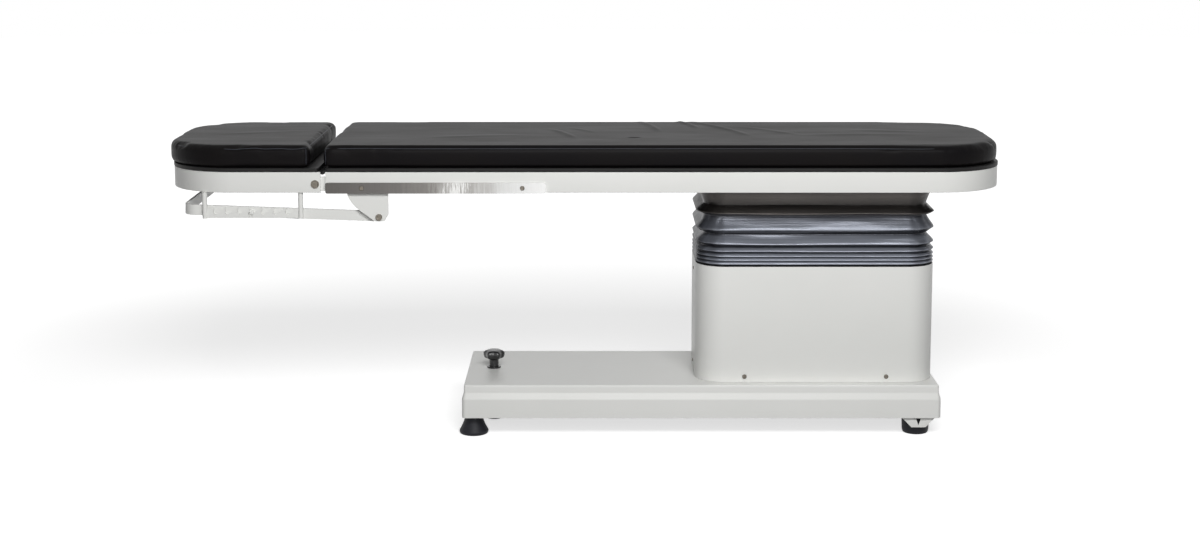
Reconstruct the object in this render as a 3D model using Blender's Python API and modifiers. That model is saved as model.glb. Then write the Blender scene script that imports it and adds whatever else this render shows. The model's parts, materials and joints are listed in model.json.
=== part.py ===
"""Operating table for eye and face surgery: a cantilevered top on one lifting column.

Metres, +Z up. The origin is on the floor under the middle of the table top.
+X points to the foot end, where the column stands, and -X to the head end.
"""

import math

import bmesh
import bpy

# Clearances: between pieces that touch, round a pin in its bore, and beside the notch plates
SEAT_GAP = 0.0003
BORE_GAP = 0.0003
BAIL_SIDE_GAP = 0.0007

# Table top, pads and decks
TOP_LENGTH = 2.010
TOP_WIDTH = 0.500
END_RADIUS = 0.165
PAD_THICKNESS = 0.0519
PAD_EDGE_RADIUS = 0.013
PAD_CORNER_RADIUS = 0.016
PAD_EDGE_STEPS = 3
HEAD_PAD_OVERHANG = 0.009
FOOT_PAD_SETBACK = 0.002
PAD_SPLIT = 0.031
DECK_THICKNESS = 0.0087
DECK_EDGE = 0.001

# Frame bands under the decks
FRAME_UNDERSIDE = 0.6134
FRAME_HEIGHT = 0.049
FRAME_WALL = 0.005
FRAME_CORNER = 0.006
CHANNEL_WIDTH = 0.050
CHANNEL_WALL = 0.004
CHANNEL_FROM_COLUMN = 0.200
HEAD_CHANNEL_INSET = 0.002
HEAD_BAR_THICKNESS = 0.006
HEAD_BAR_HEIGHT = 0.028
HEAD_BAR_BELOW_DECK = 0.002
HEAD_BAR_FROM_HINGE = 0.056

# Head hinge, measured from the head end and from the frame's underside
HINGE_FROM_HEAD_END = 0.3708
HINGE_ABOVE_UNDERSIDE = 0.0204
HEAD_FRAME_PAST_HINGE = 0.0128
FRAME_SPLIT = 0.012
HEAD_PAD_BEFORE_HINGE = 0.0138
HEAD_DECK_PAST_HINGE = 0.0072
LUG_THICKNESS = 0.006
LUG_RADIUS = 0.0168
LUG_IN_FRAME = 0.043
BOLT_RADIUS = 0.005
BOLT_HEAD_RADIUS = 0.008
BOLT_HEAD_HEIGHT = 0.005
WASHER_RADIUS = 0.010
WASHER_THICKNESS = 0.0015
SOCKET_RADIUS = 0.0042
SOCKET_DEPTH = 0.003

# Accessory rails on the frame's sides
RAIL_LENGTH = 0.520
RAIL_HEIGHT = 0.0256
RAIL_THICKNESS = 0.005
RAIL_END_RADIUS = 0.004
RAIL_BELOW_FRAME = 0.0013
RAIL_SCREW_HEAD_INSET = 0.0852
RAIL_SCREW_FOOT_INSET = 0.0558
SCREW_RADIUS = 0.003
SCREW_HEAD_RADIUS = 0.0055
SCREW_HEAD_HEIGHT = 0.003
HEAD_CROWN = 0.9
HEAD_EDGE_RISE = 0.8
SOCKET_SHARE = 0.6
RAIL_SINK_DEPTH = 0.0035

# Prop under the head section: a U-shaped bail, its brackets and the notched hangers
BAIL_PIVOT_FROM_HINGE = 0.1492
BAIL_PIVOT_BELOW_HINGE = 0.0796
BAIL_REACH = 0.466
BAIL_HEIGHT = 0.025
BAIL_THICKNESS = 0.006
BAIL_BEND_RADIUS = 0.030
BAIL_ARM_PLATE = 0.110
BAIL_ARM_LAP = 0.020
BRACKET_THICKNESS = 0.005
BRACKET_IN_FRAME = 0.0416
BRACKET_HEAD_REACH = 0.075
BRACKET_FOOT_REACH = 0.0225
BRACKET_EYE = 0.0102
BRACKET_TOE = 0.013
BRACKET_HEEL_RISE = 0.0061
BRACKET_SWEEP = ((0.96, 0.62), (0.61, 0.27))
BUSH_WALL = 0.003
BUSH_COLLAR = 0.003
POST_RADIUS = 0.006
POST_IN_FRAME = 0.042
HEAD_POST_FROM_HINGE = 0.2633
FOOT_POST_FROM_HINGE = 0.0362
POST_BELOW_HINGE = 0.0833
NOTCH_PLATE_THICKNESS = 0.004
NOTCH_PLATE_HEIGHT = 0.0242
NOTCH_PLATE_BELOW_HINGE = 0.0823
NOTCH_COUNT = 7
NOTCH_PITCH = 0.02843
NOTCH_RADIUS = 0.0057
NOTCH_DEPTH = 0.0108
NOTCH_UNDERCUT = 0.0031
TOOTH_TIP = 0.0045
FIRST_NOTCH_FROM_POST = 0.0249
SLOT_DEPTH = 0.0053
SLOT_SLOPE = math.radians(62)
PIN_RADIUS = 0.0055
PIN_NOTCH = 3
PIN_END_GAP = 0.0004

# Base: cover, plate and feet
BASE_LENGTH = 1.165
BASE_WIDTH = 0.372
BASE_FOOT_END_SETBACK = 0.138
BASE_CORNER = 0.010
FOOT_HEIGHT = 0.049
LOWER_TIER_HEIGHT = 0.046
SHOULDER_HEIGHT = 0.016
SHOULDER_INSET = 0.005
UPPER_TIER_HEIGHT = 0.015
TOP_EDGE = 0.004
COVER_WALL = 0.002
COLUMN_WELL_INSET = 0.020
CUT_THROUGH = 0.100
BASE_PLATE_THICKNESS = 0.010
FLARED_FOOT_TOP_RADIUS = 0.021
FLARED_FOOT_RIM_RADIUS = 0.0355
FLARED_FOOT_INSET = 0.0265
FLARED_FOOT_FROM_SIDE = 0.046
FLARE_POWER = 1.7
FLARE_SHARE = 0.82
FLARED_FOOT_SOLE = ((0.99, 0.09), (0.94, 0.02), (0.88, 0.0))
PUCK_RADIUS = 0.034
PUCK_TAPER = 0.002
PUCK_SOLE = 0.0036
PUCK_INSET = 0.053
PUCK_FROM_SIDE = 0.059
BRACKET_SHEET = 0.003
BRACKET_TOP_WIDTH = 0.082
BRACKET_FLANGE_WIDTH = 0.0738
BRACKET_FLANGE_LAP = 0.0272
BRACKET_FOOT_WIDTH = 0.034
BRACKET_DROP = 0.025
BRACKET_NOTCH_WIDTH = 0.012
BRACKET_NOTCH_DEPTH = 0.017
BRACKET_SETBACK = 0.008

# Floor jack at the head end of the base
JACK_FROM_BASE_END = 0.0692
KNOB_RADIUS = 0.0275
KNOB_HEIGHT = 0.0226
KNOB_EDGE = 0.0068
KNOB_ABOVE_BASE = 0.024
KNOB_LOBES = 6
KNOB_LOBE_DEPTH = 0.0035
HUB_RADIUS = 0.0115
HUB_IN_BASE = 0.012
COLLAR_RADIUS = 0.0175
COLLAR_HEIGHT = 0.004
COLLAR_EDGE = 0.0014
SPINDLE_RADIUS = 0.006
NUT_RADIUS = 0.018
NUT_HEIGHT = 0.020
JACK_PAD_RADIUS = 0.025
JACK_PAD_HEIGHT = 0.045
JACK_PAD_EDGE = 0.003
JACK_PAD_ABOVE_FLOOR = 0.002
JACK_SOCKET_DEPTH = 0.033
NUT_LAP = 0.001

# Column: cover, three telescopic tubes, bellows and drive
COLUMN_FROM_FOOT_END = 0.4415
COLUMN_LENGTH = 0.583
COLUMN_WIDTH = 0.304
COLUMN_CORNER = 0.070
COLUMN_COVER_HEIGHT = 0.2862
COLUMN_SCREW_FROM_CENTRE = 0.173
COLUMN_SCREW_ABOVE_BASE = 0.0146
COLUMN_SCREW_PAST_WALL = 0.006
OUTER_TUBE_LENGTH = 0.260
OUTER_TUBE_WIDTH = 0.180
OUTER_TUBE_HEIGHT = 0.330
TUBE_WALL = 0.004
TUBE_CORNER = 0.014
TUBE_SPACING = 0.004
COLUMN_FLANGE = 0.030
COLUMN_FLANGE_THICKNESS = 0.010
FLANGE_LAP = 0.001
RING_HEIGHT = 0.020
RING_FLANGE = 0.004
LIFT_DOWN = 0.110
MIDDLE_TUBE_HEIGHT = 0.375
STAGE_FLOOR = 0.005
INNER_TUBE_FLOOR = 0.020
SADDLE_THICKNESS = 0.012
SADDLE_INSET = 0.018
CLAMP_WIDTH = 0.022
CLAMP_HEIGHT = 0.010
BELLOWS_WALL = 0.0015
BELLOWS_FOLD_DEPTH = 0.020
BELLOWS_FOLDS = 7
BELLOWS_SPREAD = 1.22
BELLOWS_TIP_PLACE = 0.3
ACTUATOR_RADIUS = 0.030
ACTUATOR_HEIGHT = 0.360
ROD_RADIUS = 0.012
ROD_FLOOR = 0.002
BORE_FLOOR = 0.006
MOTOR_RADIUS = 0.024
MOTOR_HEIGHT = 0.120
MOTOR_SPACING = 0.004
GEARBOX_HEIGHT = 0.030
GEARBOX_WIDTH = 0.0384
CONTROL_BOX_WIDTH = 0.160
CONTROL_BOX_HEIGHT = 0.150
CONTROL_BOX_SPACING = 0.005
CONTROL_BOX_EDGE = 0.004
INLET_WIDTH = 0.048
INLET_HEIGHT = 0.027
INLET_FLANGE = 0.005
INLET_DEPTH = 0.022
INLET_ABOVE_BASE = 0.060
INLET_RIM = 0.005
INLET_WALL = 0.004

# Places that follow from the sizes above
HEAD_END = -TOP_LENGTH / 2
FOOT_END = TOP_LENGTH / 2
HALF_TOP = TOP_WIDTH / 2
FRAME_TOP = FRAME_UNDERSIDE + FRAME_HEIGHT
DECK_BOTTOM = FRAME_TOP + SEAT_GAP
PAD_BOTTOM = DECK_BOTTOM + DECK_THICKNESS + SEAT_GAP
HEAD_FRAME_END = HEAD_END + HEAD_PAD_OVERHANG
MAIN_FRAME_END = FOOT_END - DECK_EDGE
HINGE_X = HEAD_END + HINGE_FROM_HEAD_END
HINGE_Z = FRAME_UNDERSIDE + HINGE_ABOVE_UNDERSIDE
MAIN_FRAME_START = HINGE_X + HEAD_FRAME_PAST_HINGE + FRAME_SPLIT
FRAME_INSIDE = HALF_TOP - FRAME_WALL - SEAT_GAP
PIVOT_X = HINGE_X + BAIL_PIVOT_FROM_HINGE
PIVOT_Z = HINGE_Z - BAIL_PIVOT_BELOW_HINGE
POST_Y = FRAME_INSIDE - POST_RADIUS
BAIL_OUTSIDE = POST_Y - POST_RADIUS - BAIL_SIDE_GAP
BUSH_RADIUS = BOLT_RADIUS + BORE_GAP + BUSH_WALL
BASE_END = FOOT_END - BASE_FOOT_END_SETBACK
BASE_START = BASE_END - BASE_LENGTH
BASE_TOP = FOOT_HEIGHT + LOWER_TIER_HEIGHT + SHOULDER_HEIGHT + UPPER_TIER_HEIGHT + TOP_EDGE
BASE_PLATE_BOTTOM = FOOT_HEIGHT + SEAT_GAP
BASE_PLATE_TOP = BASE_PLATE_BOTTOM + BASE_PLATE_THICKNESS
JACK_X = BASE_START + JACK_FROM_BASE_END
COLUMN_X = FOOT_END - COLUMN_FROM_FOOT_END
COLUMN_BOTTOM = BASE_TOP + SEAT_GAP
COLUMN_TOP = COLUMN_BOTTOM + COLUMN_COVER_HEIGHT
SADDLE_BOTTOM = FRAME_UNDERSIDE - SEAT_GAP - SADDLE_THICKNESS
FLANGE_BOTTOM = BASE_PLATE_TOP + SEAT_GAP
FLANGE_TOP = FLANGE_BOTTOM + COLUMN_FLANGE_THICKNESS
OUTER_TUBE_TOP = FLANGE_TOP + OUTER_TUBE_HEIGHT
MIDDLE_TUBE_BOTTOM = FLANGE_TOP + LIFT_DOWN / 2 + STAGE_FLOOR
MIDDLE_TUBE_TOP = MIDDLE_TUBE_BOTTOM + MIDDLE_TUBE_HEIGHT
INNER_TUBE_BOTTOM = FLANGE_TOP + LIFT_DOWN + INNER_TUBE_FLOOR
SIDES = {"front": -1, "rear": 1}


# Scene, collections and materials


for leftover in list(bpy.data.objects):
    bpy.data.objects.remove(leftover, do_unlink=True)

parts = bpy.data.collections.new("operating_table")
cutters = bpy.data.collections.new("cutters")
for collection in (parts, cutters):
    bpy.context.scene.collection.children.link(collection)
cutters.hide_render = True


def finish(name, colour, roughness, metallic=0.0):
    """A Principled BSDF material of one colour."""
    material = bpy.data.materials.new(name)
    material.use_nodes = True
    shader = material.node_tree.nodes["Principled BSDF"]
    shader.inputs["Base Color"].default_value = (*colour, 1.0)
    shader.inputs["Roughness"].default_value = roughness
    shader.inputs["Metallic"].default_value = metallic
    return material


WHITE_PAINT = finish("white_paint", (0.74, 0.74, 0.71), 0.35)
VINYL = finish("black_vinyl", (0.018, 0.018, 0.020), 0.38)
BLACK_BOARD = finish("black_board", (0.012, 0.012, 0.013), 0.45)
BRUSHED_STEEL = finish("brushed_steel", (0.52, 0.52, 0.51), 0.34, 1.0)
ZINC = finish("zinc_plate", (0.46, 0.44, 0.40), 0.42, 1.0)
ALUMINIUM = finish("anodised_aluminium", (0.62, 0.63, 0.64), 0.40, 1.0)
DARK_STEEL = finish("dark_steel", (0.10, 0.10, 0.11), 0.50, 0.6)
BELLOWS_CLOTH = finish("bellows_cloth", (0.075, 0.078, 0.090), 0.42)
RUBBER = finish("rubber", (0.014, 0.014, 0.016), 0.62)
BLACK_PLASTIC = finish("black_plastic", (0.012, 0.012, 0.014), 0.22)
GREY_PLASTIC = finish("grey_plastic", (0.30, 0.30, 0.31), 0.50)
BRONZE = finish("bronze", (0.42, 0.27, 0.11), 0.45, 1.0)


# Modelling helpers


def add(name, mesh, material, location=(0, 0, 0), rotation=(0, 0, 0), parent=None):
    """A named part from a mesh, placed in the world or, with a parent, from the parent's origin."""
    part = bpy.data.objects.new(name, mesh)
    if not mesh.materials:
        mesh.materials.append(material)
    part.location = location
    part.rotation_euler = rotation
    part.parent = parent
    parts.objects.link(part)
    return part


def axis_empty(name, location):
    """An empty on a joint's axis, which carries the pieces that turn about it."""
    empty = bpy.data.objects.new(name, None)
    empty.location = location
    empty.empty_display_size = 0.05
    parts.objects.link(empty)
    return empty


def arc(centre_x, centre_y, radius, start, end, steps):
    """Points along a circular arc from one angle to another, both ends included."""
    angles = [start + (end - start) * i / steps for i in range(steps + 1)]
    return [(centre_x + radius * math.cos(a), centre_y + radius * math.sin(a)) for a in angles]


def rounded_box(x_low, x_high, half_width, low_radius, high_radius, steps=6):
    """Plan outline, counter-clockwise, with one corner radius at each end of X."""
    quarter = math.pi / 2
    low_x = x_low + low_radius
    high_x = x_high - high_radius
    low_y = half_width - low_radius
    high_y = half_width - high_radius
    points = arc(high_x, high_y, high_radius, 0, quarter, steps)
    points += arc(low_x, low_y, low_radius, quarter, 2 * quarter, steps)
    points += arc(low_x, -low_y, low_radius, 2 * quarter, 3 * quarter, steps)
    points += arc(high_x, -high_y, high_radius, 3 * quarter, 4 * quarter, steps)
    return points


def prism(outlines, thickness):
    """A mesh of flat outlines, the first the outer one and the rest its holes, about local Z = 0."""
    curve = bpy.data.curves.new("outline", "CURVE")
    curve.dimensions = "2D"
    curve.fill_mode = "BOTH"
    curve.extrude = thickness / 2
    for outline in outlines:
        spline = curve.splines.new("POLY")
        spline.points.add(len(outline) - 1)
        for point, (x, y) in zip(spline.points, outline):
            point.co = (x, y, 0, 1)
        spline.use_cyclic_u = True
    holder = bpy.data.objects.new("outline", curve)
    parts.objects.link(holder)
    graph = bpy.context.evaluated_depsgraph_get()
    mesh = bpy.data.meshes.new_from_object(holder.evaluated_get(graph))
    bpy.data.objects.remove(holder)
    bpy.data.curves.remove(curve)
    shape = bmesh.new()
    shape.from_mesh(mesh)
    bmesh.ops.remove_doubles(shape, verts=shape.verts, dist=1e-5)
    bmesh.ops.recalc_face_normals(shape, faces=shape.faces)
    shape.to_mesh(mesh)
    shape.free()
    mesh.materials.clear()
    return mesh


def box(length, width, height):
    """A box mesh centred on its origin."""
    shape = bmesh.new()
    bmesh.ops.create_cube(shape, size=1)
    bmesh.ops.scale(shape, vec=(length, width, height), verts=shape.verts)
    mesh = bpy.data.meshes.new("box")
    shape.to_mesh(mesh)
    shape.free()
    return mesh


def cylinder(radius, height, segments=24):
    """A round bar mesh along Z, centred on its origin and shaded smooth."""
    shape = bmesh.new()
    bmesh.ops.create_cone(
        shape, cap_ends=True, segments=segments, radius1=radius, radius2=radius, depth=height
    )
    mesh = bpy.data.meshes.new("cylinder")
    shape.to_mesh(mesh)
    shape.free()
    smooth(mesh)
    return mesh


def smooth(mesh):
    """Smooth shading that keeps edges over 35 degrees sharp."""
    mesh.shade_smooth()
    mesh.set_sharp_from_angle(angle=math.radians(35))


def turned(name, profile, material, location, rotation=(0, 0, 0), closed=False, steps=24, parent=None):
    """A turned part: (radius, height) points running down its outer side, swept about local Z."""
    mesh = bpy.data.meshes.new(name)
    count = len(profile)
    edges = [(i, (i + 1) % count) for i in range(count if closed else count - 1)]
    mesh.from_pydata([(radius, 0, height) for radius, height in profile], edges, [])
    part = add(name, mesh, material, location, rotation, parent)
    screw = part.modifiers.new("turn", "SCREW")
    screw.steps = steps
    screw.render_steps = steps
    screw.use_merge_vertices = True
    screw.merge_threshold = 1e-5
    screw.use_smooth_shade = True
    return part


def helper(name, mesh, location, rotation=(0, 0, 0), parent=None):
    """A hidden mesh that a Boolean reads."""
    tool = bpy.data.objects.new(name, mesh)
    tool.location = location
    tool.rotation_euler = rotation
    tool.parent = parent
    tool.hide_render = True
    tool.display_type = "WIRE"
    cutters.objects.link(tool)
    return tool


def boolean(part, tool, operation="DIFFERENCE"):
    """Cuts a helper from a part, or joins it on."""
    modifier = part.modifiers.new(operation.lower(), "BOOLEAN")
    modifier.operation = operation
    modifier.object = tool
    return modifier


def across(side):
    """Rotation that turns local +Z outward on a side of the table: -1 is the front, +1 the rear."""
    return (-side * math.pi / 2, 0, 0)


def socket_screw(name, head, shank, location, side, material, parent=None, nut=None, washer=None):
    """A socket-head screw along Y whose head seats at local Z = 0, with an optional washer and nut.

    head is (radius, height), shank (radius, length), nut (radius, height), washer (radius, height).
    """
    head_radius, head_height = head
    shank_radius, shank_length = shank
    profile = [(0, head_height), (head_radius * HEAD_CROWN, head_height)]
    profile += [(head_radius, head_height * HEAD_EDGE_RISE)]
    if washer:
        profile += [(head_radius, washer[1]), (washer[0], washer[1]), (washer[0], 0)]
    else:
        profile += [(head_radius, 0)]
    profile += [(shank_radius, 0)]
    if nut:
        profile += [(shank_radius, nut[1] - shank_length), (nut[0], nut[1] - shank_length)]
        profile += [(nut[0], -shank_length)]
    else:
        profile += [(shank_radius, -shank_length)]
    profile += [(0, -shank_length)]
    part = turned(name, profile, material, location, across(side), steps=16, parent=parent)
    socket_mesh = cylinder(head_radius * SOCKET_RADIUS / BOLT_HEAD_RADIUS, 2 * SOCKET_DEPTH, 6)
    reach = head_height + SOCKET_DEPTH - min(SOCKET_DEPTH, head_height * SOCKET_SHARE)
    local = helper(name + "_socket", socket_mesh, (0, 0, reach), parent=part)
    boolean(part, local)
    return part


# Pads: closed soft solids with rounded edges


def joined_rings(name, rings):
    """A closed mesh of plan outlines with equal point counts, joined from the first, lowest one upwards."""
    shape = bmesh.new()
    levels = [[shape.verts.new(point) for point in ring] for ring in rings]
    for low, high in zip(levels, levels[1:]):
        for i, start in enumerate(low):
            j = (i + 1) % len(low)
            shape.faces.new((start, low[j], high[j], high[i]))
    shape.faces.new(reversed(levels[0]))
    shape.faces.new(levels[-1])
    mesh = bpy.data.meshes.new(name)
    shape.to_mesh(mesh)
    shape.free()
    smooth(mesh)
    return mesh


def pad(name, x_low, x_high, low_radius, high_radius, parent=None, origin=(0, 0)):
    """A cushion with rounded edges between two places in the world; origin is (x, z) of its parent."""
    levels = []
    for step in range(PAD_EDGE_STEPS + 1):
        turn = math.pi / 2 * step / PAD_EDGE_STEPS
        levels.append((PAD_EDGE_RADIUS * (1 - math.sin(turn)), PAD_EDGE_RADIUS * (1 - math.cos(turn))))
    levels += [(inset, PAD_THICKNESS - rise) for inset, rise in reversed(levels)]
    rings = []
    for inset, rise in levels:
        outline = rounded_box(
            x_low + inset, x_high - inset, HALF_TOP - inset, low_radius - inset, high_radius - inset
        )
        rings.append([(x - origin[0], y, PAD_BOTTOM + rise - origin[1]) for x, y in outline])
    add(name, joined_rings(name, rings), VINYL, parent=parent)


head_axis = axis_empty("head_tilt_axis", (HINGE_X, 0, HINGE_Z))
HINGE_ORIGIN = (HINGE_X, HINGE_Z)
HEAD_PAD_END = HINGE_X - HEAD_PAD_BEFORE_HINGE
pad("head_pad", HEAD_END, HEAD_PAD_END, END_RADIUS, PAD_CORNER_RADIUS, head_axis, HINGE_ORIGIN)
pad("main_pad", HEAD_PAD_END + PAD_SPLIT, FOOT_END - FOOT_PAD_SETBACK, PAD_CORNER_RADIUS, END_RADIUS)


# Decks: black boards between the frame bands and the pads


def deck(name, x_low, x_high, low_radius, high_radius, parent=None, origin=(0, 0)):
    """A board that stands a little proud of the frame band all round."""
    outline = rounded_box(
        x_low - origin[0], x_high - origin[0], HALF_TOP + DECK_EDGE, low_radius, high_radius
    )
    height = DECK_BOTTOM + DECK_THICKNESS / 2 - origin[1]
    return add(name, prism([outline], DECK_THICKNESS), BLACK_BOARD, (0, 0, height), parent=parent)


deck(
    "head_deck",
    HEAD_FRAME_END - DECK_EDGE,
    HINGE_X + HEAD_DECK_PAST_HINGE,
    END_RADIUS + DECK_EDGE,
    FRAME_CORNER,
    head_axis,
    HINGE_ORIGIN,
)
deck(
    "main_deck",
    MAIN_FRAME_START,
    MAIN_FRAME_END + DECK_EDGE,
    FRAME_CORNER,
    END_RADIUS + DECK_EDGE,
)


# Frame bands: flat steel bent round the top's outline, open at the hinge and closed by cross bars


def u_outline(open_x, end_x, half_width, radius, wall, steps=10):
    """Plan outline of flat bar bent into a U whose rounded end is at end_x."""
    sign = math.copysign(1, end_x - open_x)
    centre_x = sign * end_x - radius
    centre_y = half_width - radius
    quarter = math.pi / 2
    outer = arc(centre_x, centre_y, radius, quarter, 0, steps)
    outer += arc(centre_x, -centre_y, radius, 0, -quarter, steps)
    inner = arc(centre_x, -centre_y, radius - wall, -quarter, 0, steps)
    inner += arc(centre_x, centre_y, radius - wall, 0, quarter, steps)
    start = sign * open_x
    points = [(start, half_width), *outer, (start, -half_width)]
    points += [(start, wall - half_width), *inner, (start, half_width - wall)]
    return [(sign * x, y) for x, y in points]


def band(name, open_x, end_x, parent=None, origin=(0, 0)):
    """A U of flat bar, FRAME_WALL thick and FRAME_HEIGHT high."""
    outline = u_outline(open_x - origin[0], end_x - origin[0], HALF_TOP, END_RADIUS, FRAME_WALL)
    height = FRAME_UNDERSIDE + FRAME_HEIGHT / 2 - origin[1]
    mesh = prism([outline], FRAME_HEIGHT)
    smooth(mesh)
    return add(name, mesh, WHITE_PAINT, (0, 0, height), parent=parent)


def circle(centre_x, centre_y, radius, steps=16):
    """A round hole's outline."""
    return arc(centre_x, centre_y, radius, 0, 2 * math.pi * (steps - 1) / steps, steps - 1)


def drill_across(part, x, z, radius, parent=None):
    """A round hole along Y through both sides of a part."""
    drill = helper(
        part.name + "_drill", cylinder(radius, 2 * TOP_WIDTH, 16), (x, 0, z), (math.pi / 2, 0, 0), parent
    )
    boolean(part, drill)


UPRIGHT = (math.pi / 2, 0, 0)
RAIL_START = MAIN_FRAME_START
RAIL_END = RAIL_START + RAIL_LENGTH
RAIL_CENTRE = (RAIL_START + RAIL_END) / 2
RAIL_Z = FRAME_UNDERSIDE - RAIL_BELOW_FRAME + RAIL_HEIGHT / 2
RAIL_SCREWS = (RAIL_START + RAIL_SCREW_HEAD_INSET, RAIL_END - RAIL_SCREW_FOOT_INSET)

main_frame = band("main_frame", MAIN_FRAME_START, MAIN_FRAME_END)
for screw_x in RAIL_SCREWS:
    drill_across(main_frame, screw_x, RAIL_Z, SCREW_RADIUS + BORE_GAP)

head_frame = band(
    "head_frame", HINGE_X + HEAD_FRAME_PAST_HINGE, HEAD_FRAME_END, head_axis, HINGE_ORIGIN
)
drill_across(head_frame, 0, 0, BOLT_RADIUS + BORE_GAP, head_axis)


# Cross members: channels across the main frame and a flat bar across the head frame


def channel(name, centre_x, half_length):
    """A channel across the frame, its back under the deck."""
    half = CHANNEL_WIDTH / 2
    top = FRAME_HEIGHT / 2
    inside = half - CHANNEL_WALL
    web = top - CHANNEL_WALL
    outline = [(-half, -top), (-inside, -top), (-inside, web), (inside, web)]
    outline += [(inside, -top), (half, -top), (half, top), (-half, top)]
    height = FRAME_UNDERSIDE + FRAME_HEIGHT / 2
    add(name, prism([outline], 2 * half_length), WHITE_PAINT, (centre_x, 0, height), UPRIGHT)


channel(
    "cross_member_head",
    MAIN_FRAME_START + HEAD_CHANNEL_INSET + CHANNEL_WIDTH / 2,
    FRAME_INSIDE - LUG_THICKNESS - SEAT_GAP,
)
channel("cross_member_column_head_side", COLUMN_X - CHANNEL_FROM_COLUMN, FRAME_INSIDE)
channel("cross_member_column_foot_side", COLUMN_X + CHANNEL_FROM_COLUMN, FRAME_INSIDE)

head_bar_height = FRAME_TOP - HEAD_BAR_BELOW_DECK - HEAD_BAR_HEIGHT / 2
add(
    "head_cross_bar",
    box(HEAD_BAR_THICKNESS, 2 * FRAME_INSIDE, HEAD_BAR_HEIGHT),
    WHITE_PAINT,
    (-HEAD_BAR_FROM_HINGE, 0, head_bar_height - HINGE_Z),
    parent=head_axis,
)


# Hinge: a lug inside each side of the frame, and a shoulder bolt through head frame and lug

lug_reach = MAIN_FRAME_START - HINGE_X + LUG_IN_FRAME
lug_outline = arc(0, 0, LUG_RADIUS, math.pi / 2, 3 * math.pi / 2, 10)
lug_outline += [(lug_reach, -LUG_RADIUS), (lug_reach, LUG_RADIUS)]
lug_mesh = prism([lug_outline, circle(0, 0, BOLT_RADIUS + BORE_GAP)], LUG_THICKNESS)
hinge_shank = HALF_TOP + SEAT_GAP - (FRAME_INSIDE - LUG_THICKNESS - SEAT_GAP - BOLT_HEAD_HEIGHT)
for place, side in SIDES.items():
    lug_y = side * (FRAME_INSIDE - LUG_THICKNESS / 2)
    add("hinge_lug_" + place, lug_mesh, WHITE_PAINT, (HINGE_X, lug_y, HINGE_Z), UPRIGHT)
    socket_screw(
        "hinge_bolt_" + place,
        (BOLT_HEAD_RADIUS, BOLT_HEAD_HEIGHT),
        (BOLT_RADIUS, hinge_shank),
        (HINGE_X, side * (HALF_TOP + SEAT_GAP), HINGE_Z),
        side,
        ZINC,
        nut=(BOLT_HEAD_RADIUS, BOLT_HEAD_HEIGHT),
        washer=(WASHER_RADIUS, WASHER_THICKNESS),
    )


# Accessory rails: brushed flat bars screwed to the frame's sides

rail_half = RAIL_LENGTH / 2
rail_outline = rounded_box(-rail_half, rail_half, RAIL_HEIGHT / 2, RAIL_END_RADIUS, RAIL_END_RADIUS, 3)
rail_holes = [circle(x - RAIL_CENTRE, 0, SCREW_RADIUS + BORE_GAP, 12) for x in RAIL_SCREWS]
rail_mesh = prism([rail_outline, *rail_holes], RAIL_THICKNESS)
for place, side in SIDES.items():
    rail_y = side * (HALF_TOP + SEAT_GAP + RAIL_THICKNESS / 2)
    rail_face = side * (HALF_TOP + SEAT_GAP + RAIL_THICKNESS)
    rail = add("side_rail_" + place, rail_mesh, BRUSHED_STEEL, (RAIL_CENTRE, rail_y, RAIL_Z), UPRIGHT)
    for end, screw_x in zip(("head", "foot"), RAIL_SCREWS):
        sink_mesh = cylinder(SCREW_HEAD_RADIUS + BORE_GAP, 2 * RAIL_SINK_DEPTH, 16)
        boolean(rail, helper("screw_sink", sink_mesh, (screw_x, rail_face, RAIL_Z), UPRIGHT))
        socket_screw(
            f"rail_screw_{place}_{end}",
            (SCREW_HEAD_RADIUS, SCREW_HEAD_HEIGHT),
            (SCREW_RADIUS, RAIL_THICKNESS - RAIL_SINK_DEPTH + SEAT_GAP + FRAME_WALL),
            (screw_x, rail_face + side * (SEAT_GAP - RAIL_SINK_DEPTH), RAIL_Z),
            side,
            ZINC,
        )


# Prop brackets: plates inside the frame that hold the bail's pivot


def bezier(start, control, end, steps):
    """Points of a quadratic curve between two points, both ends included."""
    points = []
    for i in range(steps + 1):
        t = i / steps
        a, b, c = (1 - t) ** 2, 2 * t * (1 - t), t**2
        points.append(tuple(a * s + b * m + c * e for s, m, e in zip(start, control, end)))
    return points


bracket_top = FRAME_UNDERSIDE + BRACKET_IN_FRAME - PIVOT_Z
bracket_edge = FRAME_UNDERSIDE - PIVOT_Z
bracket_sweep = [(-BRACKET_HEAD_REACH * x, bracket_edge * z) for x, z in BRACKET_SWEEP]
bracket_outline = [(-BRACKET_HEAD_REACH, bracket_top)]
bracket_outline += bezier((-BRACKET_HEAD_REACH, bracket_edge), *bracket_sweep, 5)
bracket_outline += [
    (-BRACKET_EYE, -BRACKET_EYE),
    (BRACKET_TOE, -BRACKET_EYE),
    (BRACKET_FOOT_REACH, BRACKET_HEEL_RISE),
    (BRACKET_FOOT_REACH, bracket_top),
]
bracket_mesh = prism([bracket_outline, circle(0, 0, BOLT_RADIUS + BORE_GAP)], BRACKET_THICKNESS)
bail_axis = axis_empty("bail_axis", (PIVOT_X, 0, PIVOT_Z))
bolt_seat = FRAME_INSIDE + SEAT_GAP
nut_seat = BAIL_OUTSIDE - BAIL_THICKNESS - SEAT_GAP
collar_top = FRAME_INSIDE - BRACKET_THICKNESS - SEAT_GAP - BAIL_OUTSIDE
bush_profile = [
    (BUSH_RADIUS + BUSH_COLLAR, collar_top),
    (BUSH_RADIUS + BUSH_COLLAR, SEAT_GAP),
    (BUSH_RADIUS, SEAT_GAP),
    (BUSH_RADIUS, -BAIL_THICKNESS),
    (BOLT_RADIUS + BORE_GAP, -BAIL_THICKNESS),
    (BOLT_RADIUS + BORE_GAP, collar_top),
]
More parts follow.
